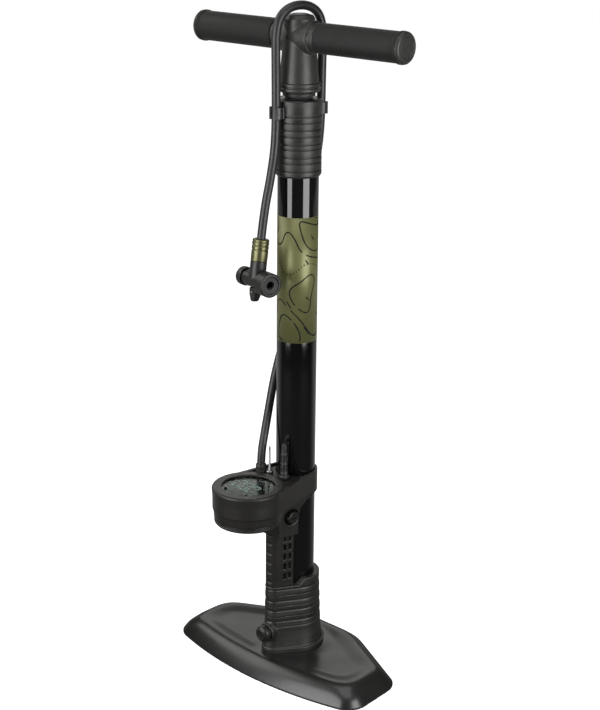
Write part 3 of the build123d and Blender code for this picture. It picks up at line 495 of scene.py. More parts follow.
# ---------------------------------------------------------------- hose, one spline from nipple to valve head
HEAD_C = np.array((-8.0, -49.0, 420.4))
HX = np.array((0.97621, -0.21667, 0.00762))
HY = np.array((0.21588, 0.96821, -0.12635))
HU = np.array((0.02, 0.12499, 0.99196))
HX, HY, HU = (v / np.linalg.norm(v) for v in (HX, HY, HU))
HOSE_R = 4.25
C82, S82 = 0.139173, 0.990268
ROUTE = [
    (-20.0, -30.0, 215.0), (-20.0, -30.0, 232.0), (-22.9, -21.6, 252.0), (-27.2, -10.6, 276.0),
    (-29.9, 0.2, 306.0), (-28.2, 11.8, 342.0), (-23.4, 20.0, 386.0), (-17.2, 25.2, 432.0),
    (-10.8, 27.6, 477.0), (-4.2, 28.4, 520.0),
    (27.5 * C82, 27.5 * S82, 556.0), (28.0 * C82, 28.0 * S82, 620.0), (28.8 * C82, 28.8 * S82, 663.0),
    (12.8 * C82, 12.8 * S82, 677.0), (-12.8 * C82, -12.8 * S82, 677.0),
    (-28.8 * C82, -28.8 * S82, 663.0), (-28.0 * C82, -28.0 * S82, 620.0), (-27.5 * C82, -27.5 * S82, 556.0),
    (-33.0 * C82, -33.0 * S82, 522.0),
    tuple(HEAD_C + HU * 67.0), tuple(HEAD_C + HU * 37.0),
]


def route_points():
    cu = bpy.data.curves.new("hose_route", "CURVE")
    cu.dimensions = "3D"
    sp = cu.splines.new("NURBS")
    sp.points.add(len(ROUTE) - 1)
    for p, q in zip(sp.points, ROUTE):
        p.co = (q[0] * MM, q[1] * MM, q[2] * MM, 1.0)
    sp.order_u, sp.use_endpoint_u, sp.resolution_u = 3, True, 24
    ob = bpy.data.objects.new("hose_route", cu)
    SCENE.collection.objects.link(ob)
    me = bpy.data.meshes.new_from_object(ob.evaluated_get(bpy.context.evaluated_depsgraph_get()))
    pts = [v.co.copy() for v in me.vertices]
    bpy.data.objects.remove(ob)
    bpy.data.meshes.remove(me)
    return pts


PATH = route_points()


def tube_mesh(name, path, radius, seg=28, step=0.0018):
    """Tube of that radius along the path, in metres, with rings a step apart and flat closed ends."""
    p = np.array([tuple(q) for q in path])
    d = np.r_[0, np.cumsum(np.linalg.norm(np.diff(p, axis=0), axis=1))]
    n = max(8, int(d[-1] / (step * 1)))
    s = np.linspace(0, d[-1], n)
    c = np.stack([np.interp(s, d, p[:, k]) for k in range(3)], 1)
    for _ in range(3):
        c[1:-1] = (c[:-2] + 2 * c[1:-1] + c[2:]) / 4
    t = np.gradient(c, axis=0)
    t /= np.linalg.norm(t, axis=1)[:, None]
    u = np.cross(t[0], (1.0, 0.2, 0.0))
    u /= np.linalg.norm(u)
    th = np.linspace(0, 2 * np.pi, seg, endpoint=False)
    rings = []
    for i in range(n):
        u = u - t[i] * (u @ t[i])
        u /= np.linalg.norm(u)
        w = np.cross(t[i], u)
        rings.append(c[i] + radius * (np.cos(th)[:, None] * u + np.sin(th)[:, None] * w))
    v = np.concatenate(rings)
    faces = []
    for i in range(n - 1):
        for k in range(seg):
            q = (k + 1) % seg
            faces.append((i * seg + k, i * seg + q, (i + 1) * seg + q, (i + 1) * seg + k))
    faces.append(tuple(range(seg - 1, -1, -1)))
    faces.append(tuple((n - 1) * seg + k for k in range(seg)))
    return to_mesh(name, v / MM, faces)


hose = bpy.data.objects.new("hose_tube", tube_mesh("hose_tube", PATH, HOSE_R * MM))
SCENE.collection.objects.link(hose)
hose.data.materials.append(M["hose_rubber"])
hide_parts("hose_supply", "hose_loop", "hose_drop")
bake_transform(hose)


# ---------------------------------------------------------------- plain CAD nodes keep their mesh and get a finish
for node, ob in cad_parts.items():
    for s in ob.material_slots:
        key = s.material.name.split(".")[0] if s.material else ""
        if key in M:
            s.material = M[key]
        else:
            print("no finish for", node, key)

# ---------------------------------------------------------------- barrel and its olive band
add("barrel_tube", lathe("barrel_tube", rounded([(18.8, 24), (20, 24), (20, 583), (18.8, 583)], 0.3, 2), 192),
    "barrel_black", "stand", ["barrel"])


def band_sleeve():
    prof = rounded([(20.001, 353), (20.04, 353), (20.04, 479), (20.001, 479)], 0.0)
    return add("barrel_band", lathe("barrel_band", prof, 192), "olive_alu", "stand", ())


band_sleeve()


def contour_lines():
    """Own height field for the band's lines: the angles, the heights and the field's values on that grid."""
    nt, nz = 260, 240
    th = np.linspace(0, 2 * np.pi, nt + 1)
    z = np.linspace(354.5, 477.5, nz)
    T, Z = np.meshgrid(th, z, indexing="ij")
    f = np.zeros_like(T)
    r = np.random.default_rng(23)
    for _ in range(26):
        k, w = r.integers(0, 4), r.uniform(0.02, 0.115) * r.choice((-1, 1))
        f += r.uniform(0.5, 1.0) / (1 + 0.5 * k + 8 * abs(w)) * np.cos(k * T + w * Z + r.uniform(0, 6.28))
    f /= f.std()
    segs = []
    for lev in (-1.55, -0.95, -0.35, 0.25, 0.85, 1.45):
        g = f - lev
        # empty loop over the cells; the crossings are found in chains()
        for i in range(nt):
            for j in range(nz - 1):
                pass
        segs.append((lev, g))
    return th, z, f


def chains(th, z, f, levels):
    out = []
    for lev in levels:
        g = f - lev
        edges = {}

        def cross(i0, j0, i1, j1):
            a, b = g[i0, j0], g[i1, j1]
            t = a / (a - b)
            return th[i0] + t * (th[i1] - th[i0]), z[j0] + t * (z[j1] - z[j0])

        s = g > 0
        links = {}
        pos = {}
        cells = np.argwhere((s[:-1, :-1] != s[1:, :-1]) | (s[:-1, :-1] != s[:-1, 1:]) | (s[:-1, :-1] != s[1:, 1:]))
        for i, j in cells:
            cr = []
            for key, (a, b, c, d) in (
                (("x", i, j), (i, j, i + 1, j)), (("y", i + 1, j), (i + 1, j, i + 1, j + 1)),
                (("x", i, j + 1), (i, j + 1, i + 1, j + 1)), (("y", i, j), (i, j, i, j + 1)),
            ):
                if s[a, b] != s[c, d]:
                    pos[key] = cross(a, b, c, d)
                    cr.append(key)
            for k in range(0, len(cr) - 1, 2):
                links.setdefault(cr[k], []).append(cr[k + 1])
                links.setdefault(cr[k + 1], []).append(cr[k])
        seen = set()
        starts = [k for k, v in links.items() if len(v) == 1] + list(links)
        for k0 in starts:
            if k0 in seen:
                continue
            chain, k = [k0], k0
            seen.add(k0)
            while True:
                nx = [q for q in links[k] if q not in seen]
                if not nx:
                    break
                k = nx[0]
                seen.add(k)
                chain.append(k)
            if len(chain) > 5:
                out.append(np.array([pos[q] for q in chain]))
    return out


def ribbon(verts, faces, pts, half, radius=20.075, thick=0.04):
    """Flat painted stroke with rounded ends along (angle, z) points."""
    a = np.stack([pts[:, 0] * 20.0, pts[:, 1]], 1)
    d = np.r_[0, np.cumsum(np.linalg.norm(np.diff(a, axis=0), axis=1))]
    if d[-1] < half * 1.2:
        return
    n = max(5, int(d[-1] / 0.45))
    s = np.linspace(0, d[-1], n)
    c = np.stack([np.interp(s, d, a[:, k]) for k in range(2)], 1)
    for _ in range(4):
        c[1:-1] = (c[:-2] + 2 * c[1:-1] + c[2:]) / 4
    t = np.gradient(c, axis=0)
    t /= np.linalg.norm(t, axis=1)[:, None] + 1e-12
    nrm = np.stack([-t[:, 1], t[:, 0]], 1)
    w = half * np.sqrt(np.clip(1 - np.clip(1 - np.minimum(s, s[-1] - s) / half, 0, 1) ** 2, 0.02, 1))
    base = len(verts)
    for side, rr in ((-1, radius), (1, radius), (1, radius - thick), (-1, radius - thick)):
        e = c + nrm * (w * side)[:, None]
        an = e[:, 0] / 20.0
        verts.extend(np.stack([rr * np.cos(an), rr * np.sin(an), e[:, 1]], 1).tolist())
    for i in range(n - 1):
        for q in range(4):
            p, r = base + q * n + i, base + ((q + 1) % 4) * n + i
            faces.append((p, p + 1, r + 1, r))
    faces.append(tuple(base + q * n for q in range(4)))
    faces.append(tuple(base + q * n + n - 1 for q in (3, 2, 1, 0)))


def band_pattern():
    th, z, f = contour_lines()
    r = np.random.default_rng(5)
    verts, faces = [], []
    for ch in chains(th, z, f, (-1.4, -0.55, 0.3, 1.15)):
        a = np.stack([ch[:, 0] * 20.0, ch[:, 1]], 1)
        d = np.r_[0, np.cumsum(np.linalg.norm(np.diff(a, axis=0), axis=1))]
        s, style = 0.0, r.random()
        while s < d[-1]:
            run = r.uniform(30, 95) if style < 0.86 else r.uniform(1.3, 1.9)
            gap = r.uniform(2.5, 8) if style < 0.86 else r.uniform(1.5, 2.2)
            e = min(s + run, d[-1])
            if e - s > 1.2:
                q = np.linspace(s, e, max(3, int((e - s) / 0.4)))
                ribbon(verts, faces, np.stack([np.interp(q, d, ch[:, 0]), np.interp(q, d, ch[:, 1])], 1), 0.62)
            s = e + gap
    # short slanted dashes between the lines
    for _ in range(14):
        a0, z0 = r.uniform(0, 2 * np.pi), r.uniform(358, 474)
        ln, sl = r.uniform(4.0, 11.0), r.uniform(0.75, 1.1)
        q = np.linspace(0, 1, 5)
        ribbon(verts, faces, np.stack([a0 + q * ln * math.cos(sl) / 20, z0 - q * ln * math.sin(sl)], 1), 0.62)
    me = to_mesh("band_pattern", verts, faces, smooth=False)
    return add("band_pattern", me, "ink_black", "stand", ())


band_pattern()

# ---------------------------------------------------------------- moulded and pressed parts, every edge rounded over
add("base_edge", soften("base_edge", ["base_edge_trim"], 0.5, 4, 0.3), "edge_rubber", "stand", ["base_edge_trim"])
add("neck_bush", lathe("neck_bush", rounded(
    [(6.25, 583.2), (12.6, 583.2, 0.2), (12.6, 591.6, 0.6), (14.2, 593.2, 0.5), (15.7, 593.9, 0.4), (15.7, 596.6, 0.6), (14.6, 597.2, 0.3), (6.25, 597.2, 0.3)], 0.3, 4), 112),
    "edge_rubber", "stand", ["rod_bush"])
add("gauge_casing", soften("gauge_casing", ["gauge_housing"], 0.42, 10, 0.5), "gauge_black", "stand", ["gauge_housing"])
add("hub_moulding", soften("hub_moulding", ["handle_hub"], 0.5, 5, 0.5), "hub_black", "handle", ["handle_hub"])
add("head_moulding", soften("head_moulding", ["head_body"], 0.32, 5, 0.6), "head_black", "stand", ["head_body"])
add("head_cap_small", soften("head_cap_small", ["presta_cap"], 0.30, 4, 0.6), "head_black", "stand", ["presta_cap"])
add("head_cap_large", soften("head_cap_large", ["schrader_cap"], 0.30, 4, 0.6), "head_black", "stand", ["schrader_cap"])


def lever():
    """Wedge that hangs under the head and swings up to lock the chuck."""
    def prism_in_head(poly, y0, y1, taper=1.0):
        n = len(poly)
        V = []
        for yy, k in ((y0, 1), (y1, 1)):
            for px, pz in poly:
                f = 1 - (1 - taper) * max(0.0, min(1.0, (-9 - pz) / 12))
                V.append(tuple(HEAD_C + HX * px + HY * yy * f + HU * pz))
        F = [tuple(range(n - 1, -1, -1)), tuple(range(n, 2 * n))]
        F += [(i, (i + 1) % n, n + (i + 1) % n, n + i) for i in range(n)]
        return to_mesh("lever_part", V, F, False)

    wedge = prism_in_head([(-5.0, -7.4), (4.6, -7.4), (4.9, -11.5), (3.6, -16.0), (2.3, -19.6), (0.9, -20.8), (-2.3, -20.9), (-3.5, -19.8), (-4.6, -15.0), (-5.2, -11.5)], -4.4, 4.4, 0.62)
    ribs = [prism_in_head([(-4.9 + 0.55 * k, -13.4 - 2.0 * k), (3.6 - 0.7 * k, -13.4 - 2.0 * k), (3.4 - 0.7 * k, -14.1 - 2.0 * k), (-4.7 + 0.55 * k, -14.1 - 2.0 * k)], -4.5 + 0.5 * k, 4.5 - 0.5 * k) for k in range(3)]
    add("lever_moulding", soften("lever_moulding", [], 0.26, 3, 0.7, extra=[wedge] + ribs), "head_black", "thumb_lever", ["thumb_lever"])


lever()
add("clamp_screw", soften("clamp_screw", ["clamp_bolt"], 0.30, 4, 0.6), "nylon_black", "stand", ["clamp_bolt"])



# ---------------------------------------------------------------- base plate: one pressing with a rolled shoulder and a dished panel
def hull2d(p):
    p = sorted(set(map(tuple, np.round(p, 4))))
    out = []
    for seq in (p, p[::-1]):
        h = []
        for q in seq:
            while len(h) > 1 and (h[-1][0] - h[-2][0]) * (q[1] - h[-2][1]) - (h[-1][1] - h[-2][1]) * (q[0] - h[-2][0]) <= 0:
                h.pop()
            h.append(q)
        out += h[:-1]
    return np.array(out)


def resample(poly, step):
    p = np.vstack([poly, poly[:1]])
    d = np.r_[0, np.cumsum(np.linalg.norm(np.diff(p, axis=0), axis=1))]
    n = int(d[-1] / step)
    q = np.linspace(0, d[-1], n, endpoint=False)
    return np.stack([np.interp(q, d, p[:, k]) for k in range(2)], 1)


def smooth01(x):
    x = np.clip(x, 0, 1)
    return x * x * (3 - 2 * x)


def sleeve_gap(x, y, r0=29.5, r1=12.5, cy=-30.0):
    """Distance outside the foot sleeve's footprint, two circles and their common tangents."""
    l = -cy
    s = (r0 - r1) / l
    c = math.sqrt(1 - s * s)
    ax, py = np.abs(x), -y
    side = ax * c + (py - 0) * s - r0
    t = -ax * s + py * c
    d0, d1 = np.hypot(x, y) - r0, np.hypot(x, y - cy) - r1
    return np.where(t < 0, d0, np.where(t > l * c, d1, side))


def base_shape():
    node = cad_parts["base_plate"]
    co = np.array([tuple(node.matrix_world @ v.co) for v in node.data.vertices]) / MM
    low = co[np.abs(co[:, 2] - co[:, 2].min()) < 0.05][:, :2]
    out = resample(hull2d(low), 1.5)
    a, b = out, np.roll(out, -1, 0)
    e = b - a
    nrm = np.stack([-e[:, 1], e[:, 0]], 1) / np.linalg.norm(e, axis=1)[:, None]

    def inset(p):
        return np.min((p[:, None, 0] - a[None, :, 0]) * nrm[None, :, 0] + (p[:, None, 1] - a[None, :, 1]) * nrm[None, :, 1], 1)

    c = np.array((0.0, -6.0))
    far = np.linalg.norm(out - c, axis=1)
    ts = np.r_[0, np.cumsum([0.35, 0.5] + [1.0] * 38 + [1.6] * 10)]
    rings = [out + (c - out) * (np.minimum(t, far * 0.9) / far)[:, None] for t in ts]
    last = rings[-1]
    for w in np.linspace(0, 1, 26)[1:-1]:
        rings.append(last + (c - last) * w)
    P = np.concatenate(rings)
    D = inset(P)
    blur = np.zeros(len(P))
    k = 0
    for rad in (5.0, 11.0, 16.0):
        for an in np.linspace(0, 2 * np.pi, 8, endpoint=False) + rad:
            blur += inset(P + rad * np.array((math.cos(an), math.sin(an))))
            k += 1
    w = smooth01((D - 3) / 10)
    D = D * (1 - w) + (blur / k + 0.6) * w
    z = 2.0 + 16.3 * (1 - (1 - np.clip(D / 19.5, 0, 1)) ** 1.75)
    z -= 2.2 * smooth01((D - 20.0) / 17.0)
    gap = sleeve_gap(P[:, 0], P[:, 1])
    z += (18.1 - z) * smooth01(1 - gap / 17.0) ** 1.6
    n, m = len(out), len(rings)
    V = np.column_stack([P, z]).tolist()
    F = []
    for i in range(m - 1):
        for j in range(n):
            q = (j + 1) % n
            F.append((i * n + j, i * n + q, (i + 1) * n + q, (i + 1) * n + j))
    V.append((*c, 18.1))
    F += [((m - 1) * n + j, (m - 1) * n + (j + 1) % n, len(V) - 1) for j in range(n)]
    me = to_mesh("base_pressing", V, F)
    ob = add("base_pressing", me, "steel_black", "stand", ["base_plate"])
    so = ob.modifiers.new("gauge", "SOLIDIFY")
    so.thickness, so.offset, so.use_even_offset = 1.3 * MM, -1.0, True
    up = sum(p.normal.z for p in me.polygons)
    if up < 0:
        me.flip_normals()
    return ob


base_shape()


# ---------------------------------------------------------------- foot sleeve: bellows bands between its grooves
def foot():
    me = soften("foot_casting", ["foot_sleeve"], 0.5, 5, 0.6)
    co = np.empty(len(me.vertices) * 3)
    me.vertices.foreach_get("co", co)
    co = co.reshape(-1, 3) / MM
    x, y, z = co.T
    cy = np.clip(y, -30, 0)
    dx, dy = x, y - cy
    rr = np.hypot(dx, dy) + 1e-9
    th = np.arctan2(dx, -dy)
    zz = z + 0.45 * np.sin(2 * th) * smooth01((z - 30) / 15)
    outer = smooth01((sleeve_gap(x, y, 21.6, 5.0) - 1.5) / 1.5)
    band = 0.5 * (1 - np.cos(2 * np.pi * (zz - 52.6) / 11.9))
    amp = 0.42 * smooth01((z - 40) / 8) * (1 - smooth01((z - 93) / 5)) * outer
    crease = -0.62 * np.exp(-((np.mod(zz - 46.7 + 5.95, 11.9) - 5.95) / 0.5) ** 2) * smooth01((z - 40) / 4) * (1 - smooth01((z - 88) / 4)) * outer
    d = amp * (band - 0.5) + crease
    lip = 0.35 * np.exp(-((z - np.interp(y, (-15, -9), (91.0, 97.4))) / 1.3) ** 2) * outer
    flare = 1.6 * np.exp(-((z - 24.5) / 4.0) ** 2) * (0.5 + 0.5 * np.cos(3 * th)) * outer
    d += lip + flare * 0.5
    co[:, 0] += dx / rr * d
    co[:, 1] += dy / rr * d
    me.vertices.foreach_set("co", (co * MM).ravel())
    add("foot_casting", me, "ribbed_black", "stand", ["foot_sleeve"])
    ax = axes((0, -42.0, 41), (0, -1, 0))
    prof = rounded([(0, 0.2), (7.9, 0.2), (7.6, 2.0, 0.6), (8.65, 3.0, 0.7), (8.5, 7.2, 2.6), (5.6, 10.2, 1.6), (3.6, 9.6, 1.2), (0, 9.2, 0)], 0.5, 6, closed=False)
    add("foot_knob", lathe("foot_knob", prof, 96, ax), "nylon_black", "stand", ["check_valve_cap"])


foot()


# ---------------------------------------------------------------- collar with its nine grooves and the two hose clips
def prism(outline, z0, z1):
    n = len(outline)
    V = [(*p, z0) for p in outline] + [(*p, z1) for p in outline]
    F = [tuple(range(n - 1, -1, -1)), tuple(range(n, 2 * n))]
    F += [(i, (i + 1) % n, n + (i + 1) % n, n + i) for i in range(n)]
    return to_mesh("prism", V, F, False)


def collar():
    cuts = (575.8, 569.9, 563.1, 556.9, 549.4, 544.6, 537.0, 531.5, 523.8)
    zs = sorted(cuts)
    out = [(20.25, 517.8, 0.2), (21.2, 517.5, 0.4), (22.35, 519.4, 0.9)]
    prev = 519.4
    for i, c in enumerate(zs):
        mid = (prev + c - 0.8) / 2
        bulge = 22.28 if i else 22.35
        out += [(bulge + 0.03, mid, 1.4), (bulge - 0.02, c - 0.62, 0.25), (21.0, c - 0.38, 0.2), (21.0, c + 0.38, 0.2), (bulge - 0.02, c + 0.62, 0.25)]
        prev = c + 0.8
    out += [(22.2, 583.0, 2.0), (22.2, 589.9, 0.9), (20.9, 591.0, 0.5), (13.1, 591.0, 0.4), (13.1, 589.6, 0.2), (20.25, 583.3, 0.2)]
    add("collar_moulding", lathe("collar_moulding", rounded(out, 0.3, 4), 160), "ribbed_black", "stand", ["upper_cap"])
    for name, ang, open_at in (("hose_clip_rear", 82.0, 0.0), ("hose_clip_front", 262.0, 0.0)):
        a = math.radians(ang)
        c = np.array((27.5 * math.cos(a), 27.5 * math.sin(a)))
        t0, t1 = a + math.radians(52 + open_at), a + math.radians(308 + open_at)
        arc = np.linspace(t0, t1, 48)
        ring = [tuple(c + 6.7 * np.array((math.cos(q), math.sin(q)))) for q in arc]
        ring += [tuple(c + 4.45 * np.array((math.cos(q), math.sin(q)))) for q in arc[::-1]]
        u, v = np.array((math.cos(a), math.sin(a))), np.array((-math.sin(a), math.cos(a)))
        web = [tuple(u * 20.9 - v * 5.0), tuple(u * 22.95 - v * 5.8), tuple(u * 22.95 + v * 5.8), tuple(u * 20.9 + v * 5.0)]
        tips = [prism([tuple(c + 5.6 * np.array((math.cos(q), math.sin(q))) + 1.25 * np.array((math.cos(w), math.sin(w)))) for w in np.linspace(0, 2 * np.pi, 20, endpoint=False)], 573.6, 585.4) for q in (t0, t1)]
        me = soften(name, [], 0.30, 4, 0.6, extra=[prism(ring, 574, 585), prism(web, 574.4, 584.6)] + tips)
        add(name, me, "cap_black", "stand", ())


collar()


# ---------------------------------------------------------------- air column with finger scallops down its front
def boxes_mesh(boxes):
    V, F = [], []
    for (x0, x1), (y0, y1), (z0, z1) in boxes:
        b = len(V)
        V += [(x, y, z) for z in (z0, z1) for x, y in ((x0, y0), (x1, y0), (x1, y1), (x0, y1))]
        F += [(b + 3, b + 2, b + 1, b), (b + 4, b + 5, b + 6, b + 7)] + [(b + i, b + (i + 1) % 4, b + 4 + (i + 1) % 4, b + 4 + i) for i in range(4)]
    return to_mesh("boxes", V, F, False)


def column():
    bars = []
    for zc in (94.6, 103.4, 114.2, 125.0, 135.8, 146.2):
        V, F = [], []
        n, m = 16, 22
        for i, q in enumerate(np.linspace(-1, 1, m)):
            an = math.radians(72 * q)
            w = math.sqrt(max(0.02, 1 - abs(q) ** 4))
            for k in range(n):
                p = 2 * np.pi * k / n
                r = 8.4 + 2.75 * w * math.cos(p)
                V.append((r * math.sin(an), -30.2 - r * math.cos(an), zc + 3.1 * w * math.sin(p)))
        for i in range(m - 1):
            F += [(i * n + k, i * n + (k + 1) % n, (i + 1) * n + (k + 1) % n, (i + 1) * n + k) for k in range(n)]
        F += [tuple(range(n - 1, -1, -1)), tuple((m - 1) * n + k for k in range(n))]
        bars.append(to_mesh("bar", V, F, False))
    pockets = []
    for zc in (103.4, 114.2, 125.0, 135.8, 145.6):
        for side in (1, -1):
            for y, x in ((-27.2, 10.6), (-21.9, 12.6)):
                xr = sorted((side * (x - 2.6), side * (x + 5)))
                pockets.append((tuple(xr), (y - 1.95, y + 1.95), (zc - 3.3, zc + 3.3)))
    me = soften("column_moulding", ["air_column"], 0.36, 2, 0.7, extra=bars, cut=boxes_mesh(pockets))
    add("column_moulding", me, "gauge_black", "stand", ["air_column"])


column()


# ---------------------------------------------------------------- gauge: bezel, window, digits, buttons, cover
GX = axes((0, -69.3, 0), (0, 0, 1))


def segments(verts, faces, x0, y0, w, h, t, which, slant, z0, z1):
    """One seven-segment digit as thin prisms; which is a string of segment letters."""
    g = t * 0.14
    half = h / 2

    def hbar(y):
        return [(x0 + g + t / 2, y), (x0 + g + t, y + t / 2), (x0 + w - g - t, y + t / 2), (x0 + w - g - t / 2, y), (x0 + w - g - t, y - t / 2), (x0 + g + t, y - t / 2)]

    def vbar(x, ya, yb):
        return [(x, ya + g + t / 2), (x + t / 2, ya + g + t), (x + t / 2, yb - g - t), (x, yb - g - t / 2), (x - t / 2, yb - g - t), (x - t / 2, ya + g + t)]

    shapes = {
        "a": hbar(y0 + h - t / 2), "g": hbar(y0 + half), "d": hbar(y0 + t / 2),
        "f": vbar(x0 + t / 2, y0 + half, y0 + h), "b": vbar(x0 + w - t / 2, y0 + half, y0 + h),
        "e": vbar(x0 + t / 2, y0, y0 + half), "c": vbar(x0 + w - t / 2, y0, y0 + half),
    }
    for k in which:
        p = [(x + (y - y0) * slant, y) for x, y in shapes[k]]
        b, n = len(verts), len(p)
        verts += [(x, y, z0) for x, y in p] + [(x, y, z1) for x, y in p]
        faces.append(tuple(b + n + i for i in range(n)))
        faces.append(tuple(b + n - 1 - i for i in range(n)))
        faces += [(b + i, b + (i + 1) % n, b + n + (i + 1) % n, b + n + i) for i in range(n)]


def gauge():
    prof = rounded([(26.35, 212.2), (26.35, 214.6, 0.25), (26.9, 215.2, 0.25), (33.6, 215.25, 0.8), (35.7, 214.7, 0.5), (36.42, 213.7, 0.3), (36.42, 212.2)], 0.2, 5)
    add("gauge_bezel_ring", lathe("gauge_bezel_ring", prof, 192, GX), "gauge_black", "stand", ["gauge_bezel"])
    prof = rounded([(0, 211.4), (26.3, 211.4), (26.3, 212.9, 0.1), (0, 212.9)], 0.1, 3, closed=False)
    add("display_panel", lathe("display_panel", prof, 128, GX), "lcd", "stand", ["lcd_panel"])
    prof = rounded([(0, 213.35), (26.25, 213.35), (26.25, 213.95, 0.2), (0, 214.1)], 0.1, 3, closed=False)
    add("display_window", lathe("display_window", prof, 128, GX), "lens", "stand", ["gauge_lens"])
    V, F = [], []
    for i, which in enumerate(("abcdef", "abcdef", "abcdef")):
        segments(V, F, -18.0 + i * 10.2, -77.6, 8.6, 17.2, 1.7, which, 0.06, 212.9, 213.02)
    b = len(V)
    V += [(x, y, z) for z in (212.9, 213.02) for x, y in ((-8.9, -77.6), (-7.9, -77.6), (-7.9, -76.5), (-8.9, -76.5))]
    F += [(b, b + 3, b + 2, b + 1), (b + 4, b + 5, b + 6, b + 7), (b, b + 1, b + 5, b + 4), (b + 1, b + 2, b + 6, b + 5), (b + 2, b + 3, b + 7, b + 6), (b + 3, b, b + 4, b + 7)]
    ca, sa = math.cos(math.radians(-6)), math.sin(math.radians(-6))
    V = [((x + 4) * ca - (y + 69) * sa - 4, (x + 4) * sa + (y + 69) * ca - 69, z) for x, y, z in V]
    add("display_digits", to_mesh("display_digits", V, F, False), "segment", "stand", ())
    V, F = [], []
    for k, (x, w) in enumerate(((-3.2, 2.0), (-0.6, 1.1), (1.0, 2.4))):
        b = len(V)
        for z in (212.9, 213.02):
            V += [(x, -51.4, z), (x + w, -51.4, z), (x + w, -49.2 - 0.5 * (k == 1), z), (x, -49.2 - 0.5 * (k == 1), z)]
        F += [(b + 3, b + 2, b + 1, b), (b + 4, b + 5, b + 6, b + 7)] + [(b + i, b + (i + 1) % 4, b + 4 + (i + 1) % 4, b + 4 + i) for i in range(4)]
    add("display_icon", to_mesh("display_icon", V, F, False), "icon_grey", "stand", ())
    for node, body in (("mode_button", "mode_button"), ("unit_button", "unit_button")):
        lo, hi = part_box(node)
        c = (Vector(lo) + Vector(hi)) / 2 / MM
        prof = rounded([(0, 206.4), (1.5, 206.4), (1.5, 214.5, 0.5), (0, 214.7)], 0.1, 4, closed=False)
        add(node + "_cap", lathe(node + "_cap", prof, 40, axes((c.x, c.y, 0), (0, 0, 1))), "ink_black", body, [node])
    prof = rounded([(0, 176.9), (30.5, 176.9, 0.3), (31.2, 177.3, 0.3), (33.2, 177.6, 1.3), (34.15, 179.1, 0.8), (34.1, 179.9, 0.15), (33.5, 180.3, 0.1), (33.5, 183.0), (0, 183.0)], 0.2, 5, closed=False)
    add("gauge_back_cover", lathe("gauge_back_cover", prof, 160, GX), "gauge_black", "stand", ["gauge_bottom_cover"])


gauge()


def nipple():
    ax = axes((-20, -30, 0), (0, 0, 1))
    prof = rounded([(0, 205), (4.5, 205), (4.5, 212.2, 0.2), (5.6, 212.4, 0.3), (5.7, 214.6, 0.4), (5.2, 215.0, 0.2), (5.2, 215.8, 0.2), (5.5, 216.2, 0.3), (5.35, 220.4, 0.5), (4.3, 221.0, 0.3), (4.15, 221.0), (4.15, 214.6), (0, 214.6)], 0.2, 4, closed=False)
    add("hose_collar", lathe("hose_collar", prof, 64, ax), "gauge_black", "stand", ["hose_nipple"])


nipple()


# ---------------------------------------------------------------- handle: plug in the hub's top, grips and their ends
def handle():
    prof = rounded([(0, 664), (10.2, 664), (10.2, 668.6, 0.7), (7.6, 669.3, 0.4), (6.9, 668.7, 0.4), (0, 668.5)], 0.3, 5, closed=False)
    add("hub_plug", lathe("hub_plug", prof, 96), "cap_black", "handle", ())
    for side, tag in ((1, "right"), (-1, "left")):
        a = math.radians(2.0)
        ax = axes((0, 0, 648.7), (side * math.cos(a), side * math.sin(a), 0), (0, 0, 1))
        prof = rounded(
            [(9.2, 26.2), (14.0, 26.2, 0.4), (14.35, 27.4, 0.4), (14.27, 29.5, 0.4), (14.27, 116.9, 0.5), (14.5, 117.6, 0.3), (15.02, 118.2, 0.35), (15.02, 121.3, 0.5), (9.2, 121.3, 0.2)], 0.3, 5)
        add("grip_sleeve_" + tag, lathe("grip_sleeve_" + tag, prof, 144, ax), "grip_rubber", "handle", ["grip_" + tag])
        prof = rounded(
            [(0, 115), (8.8, 115), (8.8, 121.1, 0.2), (14.75, 121.3, 0.3), (14.75, 122.6, 0.6), (13.9, 123.9, 0.9), (12.6, 124.8, 0.8), (10.6, 125.05, 0.5), (10.3, 124.55, 0.3), (9.7, 124.55, 0.3), (9.4, 125.05, 0.4), (0, 125.1)], 0.3, 5, closed=False)
        add("grip_end_" + tag, lathe("grip_end_" + tag, prof, 128, ax), "hub_black", "handle", ["grip_plug_" + tag])
    prof = rounded([(8.0, 597.6), (19.6, 597.6, 0.8), (20.6, 599.4, 0.7), (20.6, 601.2, 0.5), (19.5, 601.9, 0.3), (19.5, 602.7, 0.3), (20.3, 603.4, 0.5), (20.0, 605.9, 0.4), (8.0, 605.9)], 0.3, 5)
    add("hub_ring", lathe("hub_ring", prof, 144), "hub_black", "handle", ["hub_bumper"])


handle()


